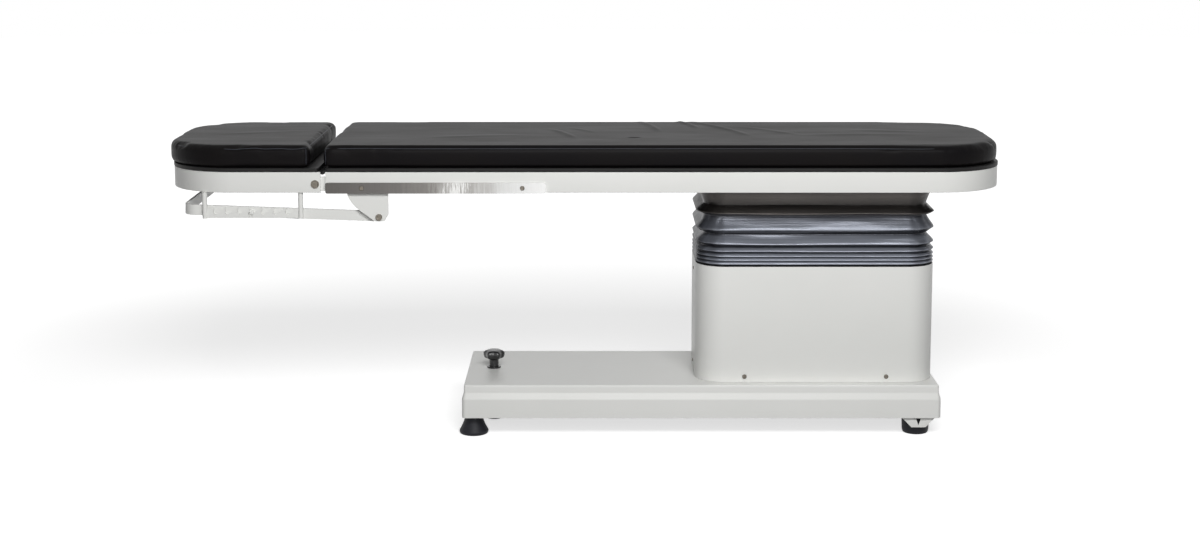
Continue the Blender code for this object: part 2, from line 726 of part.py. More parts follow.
for place, side in SIDES.items():
    bracket_y = side * (FRAME_INSIDE - BRACKET_THICKNESS / 2)
    add("bail_bracket_" + place, bracket_mesh, WHITE_PAINT, (PIVOT_X, bracket_y, PIVOT_Z), UPRIGHT)
    socket_screw(
        "bail_pivot_bolt_" + place,
        (BOLT_HEAD_RADIUS, BOLT_HEAD_HEIGHT),
        (BOLT_RADIUS, bolt_seat - nut_seat + BOLT_HEAD_HEIGHT),
        (PIVOT_X, side * bolt_seat, PIVOT_Z),
        side,
        ZINC,
        nut=(BOLT_HEAD_RADIUS, BOLT_HEAD_HEIGHT),
    )
    turned(
        "bail_bush_" + place,
        bush_profile,
        BRONZE,
        (0, side * BAIL_OUTSIDE, 0),
        across(side),
        closed=True,
        steps=16,
        parent=bail_axis,
    )


# Notched hangers: two posts under the head frame with a saw-toothed plate between them


def notched_outline(start_x, end_x, bottom, top):
    """Side outline of the plate: each notch is a round seat, undercut behind and ramped in front."""
    seat_z = top - NOTCH_DEPTH
    lip = NOTCH_UNDERCUT - NOTCH_RADIUS
    ramp = lip + NOTCH_PITCH - TOOTH_TIP
    lip_angle = math.atan2(NOTCH_DEPTH, lip) + math.acos(NOTCH_RADIUS / math.hypot(lip, NOTCH_DEPTH))
    ramp_angle = math.atan2(NOTCH_DEPTH, ramp) - math.acos(NOTCH_RADIUS / math.hypot(ramp, NOTCH_DEPTH))
    points = [(start_x, bottom), (end_x, bottom), (end_x, top)]
    for index in reversed(range(NOTCH_COUNT)):
        seat_x = start_x + FIRST_NOTCH_FROM_POST + index * NOTCH_PITCH
        points.append((seat_x + ramp, top))
        points += arc(seat_x, seat_z, NOTCH_RADIUS, ramp_angle, lip_angle - 2 * math.pi, 7)
        points.append((seat_x + lip, top))
    points.append((start_x, top))
    return points


def post(name, x, bottom, top, y):
    """One post of a hanger, as a helper placed from the hinge axis."""
    middle = (bottom + top) / 2
    return helper(name, cylinder(POST_RADIUS, top - bottom, 16), (x, y, middle), parent=head_axis)


plate_bottom = -NOTCH_PLATE_BELOW_HINGE
plate_top = plate_bottom + NOTCH_PLATE_HEIGHT
seat_height = plate_top - NOTCH_DEPTH
pin_x = -HEAD_POST_FROM_HINGE + FIRST_NOTCH_FROM_POST + PIN_NOTCH * NOTCH_PITCH
plate_outline = notched_outline(-HEAD_POST_FROM_HINGE, -FOOT_POST_FROM_HINGE, plate_bottom, plate_top)
slot_x = pin_x - SLOT_DEPTH * math.cos(SLOT_SLOPE)
slot_z = seat_height - SLOT_DEPTH * math.sin(SLOT_SLOPE)
for place, side in SIDES.items():
    hanger_y = side * POST_Y
    hanger = add(
        "notch_hanger_" + place,
        prism([plate_outline], NOTCH_PLATE_THICKNESS),
        WHITE_PAINT,
        (0, hanger_y, 0),
        UPRIGHT,
        head_axis,
    )
    under_frame = FRAME_UNDERSIDE - SEAT_GAP - HINGE_Z
    boolean(
        hanger,
        post("head_post", -HEAD_POST_FROM_HINGE, -POST_BELOW_HINGE, under_frame, hanger_y),
        "UNION",
    )
    boolean(
        hanger,
        post("foot_post", -FOOT_POST_FROM_HINGE, -POST_BELOW_HINGE, under_frame + POST_IN_FRAME, hanger_y),
        "UNION",
    )
    slot = helper(
        "catch_slot",
        cylinder(NOTCH_RADIUS, 2 * NOTCH_PLATE_THICKNESS, 16),
        (slot_x, hanger_y, slot_z),
        UPRIGHT,
        head_axis,
    )
    boolean(hanger, slot)


# Bail: flat bar bent into a U, with an eye at each end and a catch pin on each arm

pin_rise = seat_height + BAIL_PIVOT_BELOW_HINGE
pin_run = BAIL_PIVOT_FROM_HINGE - pin_x
bail_slope = math.atan2(pin_rise, pin_run)
pin_reach = math.hypot(pin_rise, pin_run)
eye_radius = BAIL_HEIGHT / 2
bail = add(
    "bail",
    prism(
        [u_outline(BAIL_ARM_LAP - BAIL_ARM_PLATE, -BAIL_REACH, BAIL_OUTSIDE, BAIL_BEND_RADIUS, BAIL_THICKNESS)],
        BAIL_HEIGHT,
    ),
    WHITE_PAINT,
    rotation=(0, bail_slope, 0),
    parent=bail_axis,
)
arm_outline = [(-BAIL_ARM_PLATE, eye_radius), (-BAIL_ARM_PLATE, -eye_radius)]
arm_outline += arc(0, 0, eye_radius, -math.pi / 2, math.pi / 2, 10)
eye_mesh = prism([arm_outline, circle(0, 0, BUSH_RADIUS + BORE_GAP)], BAIL_THICKNESS)
plate_back = POST_Y - NOTCH_PLATE_THICKNESS / 2
pin_length = plate_back - PIN_END_GAP - BAIL_OUTSIDE + BAIL_THICKNESS / 2
for side in SIDES.values():
    arm_y = side * (BAIL_OUTSIDE - BAIL_THICKNESS / 2)
    boolean(bail, helper("bail_arm", eye_mesh, (0, arm_y, 0), UPRIGHT, bail), "UNION")
    pin_y = side * (plate_back - PIN_END_GAP - pin_length / 2)
    pin = helper("catch_pin", cylinder(PIN_RADIUS, pin_length, 16), (-pin_reach, pin_y, 0), UPRIGHT, bail)
    boolean(bail, pin, "UNION")


# Base plate: thick steel that carries column, feet and jack nut

cover_inside = COVER_WALL + SEAT_GAP
half_base = BASE_WIDTH / 2
plate_mesh = prism(
    [
        rounded_box(
            BASE_START + cover_inside,
            BASE_END - cover_inside,
            half_base - cover_inside,
            BASE_CORNER - cover_inside,
            BASE_CORNER - cover_inside,
            3,
        ),
        circle(JACK_X, 0, SPINDLE_RADIUS + BORE_GAP),
    ],
    BASE_PLATE_THICKNESS,
)
base_plate = add(
    "base_plate", plate_mesh, DARK_STEEL, (0, 0, (BASE_PLATE_BOTTOM + BASE_PLATE_TOP) / 2)
)
nut_mesh = prism(
    [circle(0, 0, NUT_RADIUS, 6), circle(0, 0, SPINDLE_RADIUS + BORE_GAP)], NUT_HEIGHT + NUT_LAP
)
nut = helper("jack_nut", nut_mesh, (JACK_X, 0, BASE_PLATE_TOP + (NUT_HEIGHT - NUT_LAP) / 2))
boolean(base_plate, nut, "UNION")


# Base cover: a stepped sheet tray turned over the base plate


def tiered_shell(name, outline, bottom, tiers, material):
    """A cover open below: the outline face is raised tier by tier, each (rise, inset), leaving walls."""
    shape = bmesh.new()
    face = shape.faces.new([shape.verts.new((x, y, bottom)) for x, y in outline])
    for rise, inset in tiers:
        if inset:
            bmesh.ops.inset_individual(
                shape, faces=[face], thickness=inset, depth=rise, use_even_offset=True
            )
        else:
            face = bmesh.ops.extrude_discrete_faces(shape, faces=[face])["faces"][0]
            bmesh.ops.translate(shape, vec=(0, 0, rise), verts=face.verts)
    mesh = bpy.data.meshes.new(name)
    shape.to_mesh(mesh)
    shape.free()
    smooth(mesh)
    cover = add(name, mesh, material)
    shell = cover.modifiers.new("sheet", "SOLIDIFY")
    shell.thickness = COVER_WALL
    shell.offset = -1
    shell.use_even_offset = True
    return cover


edge_bend = TOP_EDGE * (1 - math.sqrt(0.5))
base_cover = tiered_shell(
    "base_cover",
    rounded_box(BASE_START, BASE_END, half_base, BASE_CORNER, BASE_CORNER, 4),
    FOOT_HEIGHT,
    [
        (LOWER_TIER_HEIGHT, 0),
        (SHOULDER_HEIGHT, SHOULDER_INSET),
        (UPPER_TIER_HEIGHT, 0),
        (TOP_EDGE - edge_bend, edge_bend),
        (edge_bend, TOP_EDGE - edge_bend),
    ],
    WHITE_PAINT,
)


def column_outline(inset, steps=6):
    """The column's plan outline about its own centre, inset all round."""
    half = COLUMN_LENGTH / 2 - inset
    corner = COLUMN_CORNER - inset
    return rounded_box(-half, half, COLUMN_WIDTH / 2 - inset, corner, corner, steps)


well = helper("column_well", prism([column_outline(COLUMN_WELL_INSET)], CUT_THROUGH), (COLUMN_X, 0, BASE_TOP))
boolean(base_cover, well)
knob_hole = helper("knob_hole", cylinder(HUB_RADIUS + BORE_GAP, CUT_THROUGH), (JACK_X, 0, BASE_TOP))
boolean(base_cover, knob_hole)


# Feet: flared rubber cones at the head end, round pucks with sheet brackets at the column end

flare_points = 6
flare_rise = FOOT_HEIGHT * FLARE_SHARE
foot_profile = [(0, FOOT_HEIGHT)]
for i in range(flare_points + 1):
    fall = i / flare_points
    foot_profile.append(
        (
            FLARED_FOOT_TOP_RADIUS + (FLARED_FOOT_RIM_RADIUS - FLARED_FOOT_TOP_RADIUS) * fall**FLARE_POWER,
            FOOT_HEIGHT - flare_rise * fall,
        )
    )
foot_profile += [(FLARED_FOOT_RIM_RADIUS * wide, FOOT_HEIGHT * high) for wide, high in FLARED_FOOT_SOLE]
foot_profile += [(0, 0)]
puck_height = FOOT_HEIGHT - BRACKET_SHEET - SEAT_GAP
puck_profile = [
    (0, puck_height),
    (PUCK_RADIUS, puck_height),
    (PUCK_RADIUS - PUCK_TAPER, PUCK_SOLE),
    (PUCK_RADIUS - 2 * PUCK_TAPER, 0),
    (0, 0),
]
half_top_width = BRACKET_TOP_WIDTH / 2
half_foot_width = BRACKET_FOOT_WIDTH / 2
notch_top = -BRACKET_SHEET - SEAT_GAP
foot_bracket_outline = [
    (-half_top_width, 0),
    (-half_foot_width, -BRACKET_DROP),
    (half_foot_width, -BRACKET_DROP),
    (half_top_width, 0),
]
foot_bracket_notch = [
    (-BRACKET_NOTCH_WIDTH / 2, notch_top),
    (0, notch_top - BRACKET_NOTCH_DEPTH),
    (BRACKET_NOTCH_WIDTH / 2, notch_top),
]
bracket_face = half_base - BRACKET_SETBACK
flared_foot_y = half_base - FLARED_FOOT_FROM_SIDE
puck_y = half_base - PUCK_FROM_SIDE
flange_reach = bracket_face - puck_y + BRACKET_FLANGE_LAP
for place, side in SIDES.items():
    flared_at = (BASE_START + FLARED_FOOT_INSET, side * flared_foot_y, 0)
    turned("flared_foot_" + place, foot_profile, RUBBER, flared_at, steps=20)
    puck_x = BASE_END - PUCK_INSET
    turned("puck_foot_" + place, puck_profile, RUBBER, (puck_x, side * puck_y, 0), steps=20)
    bracket = add(
        "foot_bracket_" + place,
        prism([foot_bracket_outline, foot_bracket_notch], BRACKET_SHEET),
        WHITE_PAINT,
        (puck_x, side * (bracket_face - BRACKET_SHEET / 2), FOOT_HEIGHT),
        UPRIGHT,
    )
    flange = helper(
        "bracket_flange",
        box(BRACKET_FLANGE_WIDTH, flange_reach, BRACKET_SHEET),
        (puck_x, side * (bracket_face - flange_reach / 2), FOOT_HEIGHT - BRACKET_SHEET / 2),
    )
    boolean(bracket, flange, "UNION")


# Floor jack: a star knob whose spindle presses a rubber pad to the floor

knob_points = 48
knob_outline = []
for i in range(knob_points):
    turn = 2 * math.pi * i / knob_points
    reach = KNOB_RADIUS - KNOB_LOBE_DEPTH * (1 - math.cos(KNOB_LOBES * turn)) / 2
    knob_outline.append((reach * math.cos(turn), reach * math.sin(turn)))
jack_axis = axis_empty("jack_axis", (JACK_X, 0, 0))
knob_bottom = BASE_TOP + KNOB_ABOVE_BASE
knob = add(
    "jack_knob",
    prism([knob_outline], KNOB_HEIGHT),
    BLACK_PLASTIC,
    (0, 0, knob_bottom + KNOB_HEIGHT / 2),
    parent=jack_axis,
)
knob_edge = knob.modifiers.new("round_edge", "BEVEL")
knob_edge.width = KNOB_EDGE
knob_edge.segments = 3
knob_edge.limit_method = "ANGLE"
knob_edge.angle_limit = math.radians(60)
smooth(knob.data)
hub_bottom = BASE_TOP - HUB_IN_BASE
hub_height = knob_bottom + KNOB_HEIGHT / 2 - hub_bottom
hub = helper("knob_hub", cylinder(HUB_RADIUS, hub_height), (0, 0, hub_bottom + hub_height / 2), parent=jack_axis)
boolean(knob, hub, "UNION")

socket_floor = JACK_PAD_ABOVE_FLOOR + JACK_PAD_HEIGHT - JACK_SOCKET_DEPTH
spindle_bottom = socket_floor + SEAT_GAP
spindle_height = hub_bottom - SEAT_GAP - spindle_bottom
add(
    "jack_spindle",
    cylinder(SPINDLE_RADIUS, spindle_height, 16),
    ZINC,
    (0, 0, spindle_bottom + spindle_height / 2),
    parent=jack_axis,
)
pad_top = JACK_PAD_ABOVE_FLOOR + JACK_PAD_HEIGHT
turned(
    "jack_pad",
    [
        (0, socket_floor),
        (SPINDLE_RADIUS + BORE_GAP, socket_floor),
        (SPINDLE_RADIUS + BORE_GAP, pad_top),
        (JACK_PAD_RADIUS - JACK_PAD_EDGE, pad_top),
        (JACK_PAD_RADIUS, pad_top - JACK_PAD_EDGE),
        (JACK_PAD_RADIUS, JACK_PAD_ABOVE_FLOOR + JACK_PAD_EDGE),
        (JACK_PAD_RADIUS - JACK_PAD_EDGE, JACK_PAD_ABOVE_FLOOR),
        (0, JACK_PAD_ABOVE_FLOOR),
    ],
    RUBBER,
    (0, 0, 0),
    steps=20,
    parent=jack_axis,
)
collar_bottom = BASE_TOP + SEAT_GAP
turned(
    "jack_collar",
    [
        (COLLAR_RADIUS - COLLAR_EDGE, collar_bottom + COLLAR_HEIGHT),
        (COLLAR_RADIUS, collar_bottom + COLLAR_HEIGHT - COLLAR_EDGE),
        (COLLAR_RADIUS, collar_bottom),
        (HUB_RADIUS + BORE_GAP, collar_bottom),
        (HUB_RADIUS + BORE_GAP, collar_bottom + COLLAR_HEIGHT),
    ],
    BLACK_PLASTIC,
    (JACK_X, 0, 0),
    closed=True,
)


# Column cover: a rounded sheet tube with its screws and the mains inlet

cover_mesh = prism([column_outline(0), column_outline(COVER_WALL)], COLUMN_COVER_HEIGHT)
smooth(cover_mesh)
cover_middle = (COLUMN_BOTTOM + COLUMN_TOP) / 2
column_cover = add("column_cover", cover_mesh, WHITE_PAINT, (COLUMN_X, 0, cover_middle))
screw_height = BASE_TOP + COLUMN_SCREW_ABOVE_BASE
cover_shank = COVER_WALL + SEAT_GAP + COLUMN_SCREW_PAST_WALL
for end, offset in (("head", -COLUMN_SCREW_FROM_CENTRE), ("foot", COLUMN_SCREW_FROM_CENTRE)):
    drill_across(column_cover, COLUMN_X + offset, screw_height, SCREW_RADIUS + BORE_GAP)
    for place, side in SIDES.items():
        socket_screw(
            f"cover_screw_{place}_{end}",
            (SCREW_HEAD_RADIUS, SCREW_HEAD_HEIGHT),
            (SCREW_RADIUS, cover_shank),
            (COLUMN_X + offset, side * (COLUMN_WIDTH / 2 + SEAT_GAP), screw_height),
            side,
            ZINC,
        )
inlet_z = BASE_TOP + INLET_ABOVE_BASE
cover_end = COLUMN_X + COLUMN_LENGTH / 2
inlet_hole = helper(
    "inlet_hole",
    box(CUT_THROUGH / 2, INLET_WIDTH + 2 * SEAT_GAP, INLET_HEIGHT + 2 * SEAT_GAP),
    (cover_end, 0, inlet_z),
)
boolean(column_cover, inlet_hole)
inlet_start = cover_end - INLET_DEPTH
inlet_length = INLET_DEPTH + SEAT_GAP + INLET_FLANGE
inlet = add(
    "mains_inlet",
    box(inlet_length, INLET_WIDTH, INLET_HEIGHT),
    BLACK_PLASTIC,
    (inlet_start + inlet_length / 2, 0, inlet_z),
)
inlet_plate = helper(
    "inlet_plate",
    box(INLET_FLANGE, INLET_WIDTH + 2 * INLET_RIM, INLET_HEIGHT + 2 * INLET_RIM),
    (cover_end + SEAT_GAP + INLET_FLANGE / 2, 0, inlet_z),
)
boolean(inlet, inlet_plate, "UNION")
inlet_socket = helper(
    "inlet_socket",
    box(inlet_length, INLET_WIDTH - 2 * INLET_WALL, INLET_HEIGHT - 2 * INLET_WALL),
    (inlet_start + inlet_length / 2 + INLET_WALL, 0, inlet_z),
)
boolean(inlet, inlet_socket)


# Telescopic tubes: the outer one stands on the base plate, the inner one carries the top


def tube_outline(length, width, corner):
    """A tube section's outline about the column's centre."""
    return rounded_box(-length / 2, length / 2, width / 2, corner, corner, 4)


def tube_section(stage):
    """Outer and inner outlines of tube 0, 1 or 2, each one wall and one spacing inside the last."""
    step = 2 * stage * (TUBE_WALL + TUBE_SPACING)
    length = OUTER_TUBE_LENGTH - step
    width = OUTER_TUBE_WIDTH - step
    corner = TUBE_CORNER - stage * TUBE_WALL / 2
    outer = tube_outline(length, width, corner)
    inner = tube_outline(length - 2 * TUBE_WALL, width - 2 * TUBE_WALL, corner - TUBE_WALL)
    return outer, inner


def standing(name, outlines, bottom, top, material):
    """A prism on the column's axis between two heights."""
    return add(name, prism(outlines, top - bottom), material, (COLUMN_X, 0, (bottom + top) / 2))


outer_tube = standing(
    "column_outer_tube", tube_section(0), FLANGE_TOP - FLANGE_LAP, OUTER_TUBE_TOP, ALUMINIUM
)
flange_outline = tube_outline(
    OUTER_TUBE_LENGTH + 2 * COLUMN_FLANGE, OUTER_TUBE_WIDTH + 2 * COLUMN_FLANGE, TUBE_CORNER
)
flange_plate = helper(
    "column_flange",
    prism([flange_outline], COLUMN_FLANGE_THICKNESS),
    (COLUMN_X, 0, (FLANGE_BOTTOM + FLANGE_TOP) / 2),
)
boolean(outer_tube, flange_plate, "UNION")
standing("column_middle_tube", tube_section(1), MIDDLE_TUBE_BOTTOM, MIDDLE_TUBE_TOP, ALUMINIUM)
standing(
    "column_inner_tube", tube_section(2), INNER_TUBE_BOTTOM, SADDLE_BOTTOM - SEAT_GAP, ALUMINIUM
)


def glide_ring(name, stage, tube_top):
    """A plastic ring in the space inside a tube's mouth, with a flange on the tube's end."""
    step = 2 * stage * (TUBE_WALL + TUBE_SPACING)
    corner = TUBE_CORNER - stage * TUBE_WALL / 2
    mouth = 2 * (TUBE_WALL + SEAT_GAP)
    bore = 2 * (TUBE_WALL + TUBE_SPACING - SEAT_GAP)
    full = tube_outline(OUTER_TUBE_LENGTH - step, OUTER_TUBE_WIDTH - step, corner)
    skirt = tube_outline(
        OUTER_TUBE_LENGTH - step - mouth, OUTER_TUBE_WIDTH - step - mouth, corner - TUBE_WALL
    )
    hole = tube_outline(
        OUTER_TUBE_LENGTH - step - bore, OUTER_TUBE_WIDTH - step - bore, corner - TUBE_WALL
    )
    lip = tube_top + SEAT_GAP
    ring = standing(name, [skirt, hole], tube_top - RING_HEIGHT, lip + RING_FLANGE / 2, GREY_PLASTIC)
    flange = helper(
        name + "_flange", prism([full, hole], RING_FLANGE), (COLUMN_X, 0, lip + RING_FLANGE / 2)
    )
    boolean(ring, flange, "UNION")


glide_ring("outer_glide_ring", 0, OUTER_TUBE_TOP)
glide_ring("middle_glide_ring", 1, MIDDLE_TUBE_TOP)

standing(
    "saddle_plate",
    [column_outline(SADDLE_INSET)],
    SADDLE_BOTTOM,
    SADDLE_BOTTOM + SADDLE_THICKNESS,
    DARK_STEEL,
)


# Bellows and the two frames that clamp its ends

clamp_outside = COVER_WALL + SEAT_GAP
standing(
    "bellows_lower_clamp",
    [column_outline(clamp_outside), column_outline(clamp_outside + CLAMP_WIDTH)],
    COLUMN_TOP - CLAMP_HEIGHT,
    COLUMN_TOP,
    DARK_STEEL,
)
upper_clamp_top = SADDLE_BOTTOM - SEAT_GAP
upper_clamp_bottom = upper_clamp_top - CLAMP_HEIGHT
standing(
    "bellows_upper_clamp",
    [column_outline(SADDLE_INSET), column_outline(SADDLE_INSET + CLAMP_WIDTH)],
    upper_clamp_bottom,
    upper_clamp_top,
    DARK_STEEL,
)


def bellows_mesh(bottom, top):
    """A pleated sleeve: rings of the column's outline that step in and out, joined outside and inside."""
    first = (top - bottom) * (BELLOWS_SPREAD - 1) / (BELLOWS_SPREAD**BELLOWS_FOLDS - 1)
    levels = []
    height = bottom
    for fold in range(BELLOWS_FOLDS):
        fold_height = first * BELLOWS_SPREAD**fold
        levels.append((height, BELLOWS_FOLD_DEPTH))
        levels.append((height + BELLOWS_TIP_PLACE * fold_height, 0))
        height += fold_height
    levels.append((top, BELLOWS_FOLD_DEPTH))
    inside = [(z, inset + BELLOWS_WALL) for z, inset in reversed(levels)]
    shape = bmesh.new()
    rings = []
    for z, inset in levels + inside:
        rings.append([shape.verts.new((x, y, z)) for x, y in column_outline(inset, 4)])
    for low, high in zip(rings, rings[1:] + rings[:1]):
        for i in range(len(low)):
            j = (i + 1) % len(low)
            shape.faces.new((low[i], low[j], high[j], high[i]))
    bmesh.ops.recalc_face_normals(shape, faces=shape.faces)
    mesh = bpy.data.meshes.new("bellows")
    shape.to_mesh(mesh)
    shape.free()
    return mesh


add(
    "bellows",
    bellows_mesh(COLUMN_TOP + SEAT_GAP, upper_clamp_bottom - SEAT_GAP),
    BELLOWS_CLOTH,
    (COLUMN_X, 0, 0),
)


# Lift drive: an actuator on the column's foot plate, its rod under the saddle, and the control box

actuator_bottom = FLANGE_TOP + SEAT_GAP
actuator_middle = actuator_bottom + ACTUATOR_HEIGHT / 2
actuator = add(
    "lift_actuator", cylinder(ACTUATOR_RADIUS, ACTUATOR_HEIGHT), GREY_PLASTIC, (COLUMN_X, 0, actuator_middle)
)
motor_x = COLUMN_X + ACTUATOR_RADIUS + MOTOR_SPACING + MOTOR_RADIUS
motor = helper(
    "lift_motor", cylinder(MOTOR_RADIUS, MOTOR_HEIGHT), (motor_x, 0, actuator_bottom + MOTOR_HEIGHT / 2)
)
boolean(actuator, motor, "UNION")
gearbox = helper(
    "gearbox",
    box(motor_x - COLUMN_X, GEARBOX_WIDTH, GEARBOX_HEIGHT),
    ((motor_x + COLUMN_X) / 2, 0, actuator_bottom + BORE_FLOOR / 2 + GEARBOX_HEIGHT / 2),
)
boolean(actuator, gearbox, "UNION")
bore_bottom = actuator_bottom + BORE_FLOOR
bore_height = ACTUATOR_HEIGHT
rod_bore = helper(
    "rod_bore", cylinder(ROD_RADIUS + BORE_GAP, bore_height), (COLUMN_X, 0, bore_bottom + bore_height / 2)
)
boolean(actuator, rod_bore)
rod_bottom = bore_bottom + LIFT_DOWN + ROD_FLOOR
rod_top = SADDLE_BOTTOM - SEAT_GAP
add("lift_rod", cylinder(ROD_RADIUS, rod_top - rod_bottom), ALUMINIUM, (COLUMN_X, 0, (rod_top + rod_bottom) / 2))

control_start = COLUMN_X + OUTER_TUBE_LENGTH / 2 + COLUMN_FLANGE + CONTROL_BOX_SPACING
control_end = inlet_start - CONTROL_BOX_SPACING
control_box = add(
    "control_box",
    box(control_end - control_start, CONTROL_BOX_WIDTH, CONTROL_BOX_HEIGHT),
    GREY_PLASTIC,
    ((control_start + control_end) / 2, 0, BASE_PLATE_TOP + SEAT_GAP + CONTROL_BOX_HEIGHT / 2),
)
control_edges = control_box.modifiers.new("edges", "BEVEL")
control_edges.width = CONTROL_BOX_EDGE
control_edges.segments = 2
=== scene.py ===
"""Looks of an operating table: a padded top that reaches out from one lifting column.

Metres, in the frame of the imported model: the floor is z = 0, +X points to the foot end over the column,
and -Y points to the photographer. The sections follow the table as it is put together.
"""

import json
import math

import bmesh
import bpy
import numpy as np
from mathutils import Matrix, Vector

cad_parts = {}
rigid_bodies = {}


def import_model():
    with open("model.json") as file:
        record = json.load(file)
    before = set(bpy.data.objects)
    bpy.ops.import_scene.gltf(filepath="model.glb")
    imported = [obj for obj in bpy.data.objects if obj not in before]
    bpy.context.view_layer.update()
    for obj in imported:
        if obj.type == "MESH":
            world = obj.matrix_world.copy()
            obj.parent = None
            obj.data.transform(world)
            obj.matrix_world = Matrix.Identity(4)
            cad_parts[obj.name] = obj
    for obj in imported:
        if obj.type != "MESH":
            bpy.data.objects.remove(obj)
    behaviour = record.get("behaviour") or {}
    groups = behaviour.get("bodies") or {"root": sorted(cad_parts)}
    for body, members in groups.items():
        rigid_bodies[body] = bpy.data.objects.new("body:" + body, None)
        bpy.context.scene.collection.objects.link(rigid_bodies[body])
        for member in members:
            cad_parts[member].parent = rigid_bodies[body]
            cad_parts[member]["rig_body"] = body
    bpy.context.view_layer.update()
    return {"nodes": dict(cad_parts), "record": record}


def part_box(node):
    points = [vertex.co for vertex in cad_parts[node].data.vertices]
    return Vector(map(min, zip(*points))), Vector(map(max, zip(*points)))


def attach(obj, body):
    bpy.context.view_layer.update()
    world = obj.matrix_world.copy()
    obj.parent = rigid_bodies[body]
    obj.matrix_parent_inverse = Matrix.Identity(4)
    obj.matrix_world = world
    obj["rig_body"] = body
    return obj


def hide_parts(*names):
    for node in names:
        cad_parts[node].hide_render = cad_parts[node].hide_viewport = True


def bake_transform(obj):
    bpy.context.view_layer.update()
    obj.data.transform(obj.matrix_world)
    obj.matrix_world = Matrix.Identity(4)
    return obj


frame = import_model()
record_slots = {part["node"]: part["material_slot"] for part in frame["record"]["subparts"]}


# Camera. It stands a little above the table top in front of the long side, level sideways and
# looking slightly down; the picture's middle lies below the lens axis, as in a cropped photograph.
def placed(name, data):
    """A new object that holds the data, linked to the scene."""
    made = bpy.data.objects.new(name, data)
    bpy.context.scene.collection.objects.link(made)
    return made


lens = bpy.data.cameras.new("camera")
lens.sensor_width = 36.0
lens.lens = 58.68
lens.shift_y = -0.0917
camera = placed("camera", lens)
camera.location = (0.038, -4.811, 1.316)
camera.rotation_euler = (math.radians(82.0), 0, 0)
bpy.context.scene.camera = camera
bpy.context.scene.view_settings.view_transform = "Standard"


# Studio. A matt floor and a plain white surround. The key lamp stands high in front and a weaker one
# just over the camera fills its shadows; the rear is lit by the far wall of the surround.
class Wire:
    """One output of a shader node; arithmetic on wires adds Math nodes."""

    def __init__(self, tree, socket=None):
        self.tree = tree
        self.socket = socket

    def node(self, kind, settings=None, inputs=None, output=0):
        """Adds a node, sets its settings, sets or links its inputs, and returns one output."""
        made = self.tree.nodes.new(kind)
        for key, value in (settings or {}).items():
            if key == "stops":
                ramp = made.color_ramp.elements
                ramp[0].position, ramp[0].color = value[0][0], (*value[0][1], 1.0)
                ramp[1].position, ramp[1].color = value[-1][0], (*value[-1][1], 1.0)
                for position, colour in value[1:-1]:
                    ramp.new(position).color = (*colour, 1.0)
            else:
                setattr(made, key, value)
        for key, value in (inputs or {}).items():
            if isinstance(value, Wire):
                self.tree.links.new(value.socket, made.inputs[key])
            else:
                made.inputs[key].default_value = value
        return Wire(self.tree, made.outputs[output]) if made.outputs else None

    def math(self, operation, first, second):
        """A Math node of that operation on two wires or numbers."""
        return self.node("ShaderNodeMath", {"operation": operation}, {0: first, 1: second})

    def __add__(self, other):
        return self.math("ADD", self, other)

    def __sub__(self, other):
        return self.math("SUBTRACT", self, other)

    def __rsub__(self, other):
        return self.math("SUBTRACT", other, self)

    def __mul__(self, other):
        return self.math("MULTIPLY", self, other)

    def __pow__(self, other):
        return self.math("POWER", self, other)

    __radd__ = __add__
    __rmul__ = __mul__


def seen_directly(start):
    """1 for rays from the camera, off gloss or through glass, which show the studio; 0 for its light."""
    kinds = ("Is Camera Ray", "Is Glossy Ray", "Is Transmission Ray")
    camera_ray, glossy_ray, glass_ray = (start.node("ShaderNodeLightPath", output=kind) for kind in kinds)
    return start.math("MINIMUM", camera_ray + glossy_ray + glass_ray, 1.0)


front_light, rear_light = 0.05, 0.70
surround = bpy.data.worlds.new("surround")
surround.use_nodes = True
surround.node_tree.nodes.clear()
sky = Wire(surround.node_tree)
direction = sky.node("ShaderNodeTexCoord", output="Generated")
to_rear = sky.node("ShaderNodeSeparateXYZ", None, {"Vector": direction}, "Y")
wall = front_light + rear_light * sky.math("MAXIMUM", to_rear, 0.0) ** 2
dim = sky.node("ShaderNodeBackground", None, {"Color": (1, 1, 1, 1), "Strength": wall})
white = sky.node("ShaderNodeBackground", None, {"Color": (1, 1, 1, 1), "Strength": 1.0})
sky.node(
    "ShaderNodeOutputWorld",
    None,
    {"Surface": sky.node("ShaderNodeMixShader", None, {0: seen_directly(sky), 1: dim, 2: white})},
)
bpy.context.scene.world = surround

floor_radius = 14.0
shadow_glow, open_glow = 0.66, 1.0
glow_from, glow_to = 1.3, 3.2
angles = np.linspace(0, 2 * np.pi, 96, endpoint=False)
rim = np.stack([floor_radius * np.cos(angles), floor_radius * np.sin(angles), 0 * angles], 1)
floor_mesh = bpy.data.meshes.new("floor")
floor_mesh.from_pydata(rim.tolist(), [], [list(range(len(angles)))])
floor_paint = bpy.data.materials.new("white_floor")
floor_paint.use_nodes = True
floor_paint.node_tree.nodes.clear()
ground = Wire(floor_paint.node_tree)
dull = ground.node("ShaderNodeBsdfDiffuse", None, {"Color": (0.20, 0.20, 0.20, 1)})
matt = ground.node("ShaderNodeBsdfDiffuse", None, {"Color": (0.80, 0.80, 0.80, 1)})
spot = ground.node("ShaderNodeTexCoord", output="Object")
away = ground.node("ShaderNodeVectorMath", {"operation": "LENGTH"}, {0: spot}, "Value")
glow_limits = {
    "Value": away,
    "From Min": glow_from,
    "From Max": glow_to,
    "To Min": shadow_glow,
    "To Max": open_glow,
}
glow_level = ground.node("ShaderNodeMapRange", {"interpolation_type": "SMOOTHSTEP"}, glow_limits)
glow = ground.node("ShaderNodeEmission", None, {"Color": (1, 1, 1, 1), "Strength": glow_level})
lit = ground.node("ShaderNodeAddShader", None, {0: matt, 1: glow})
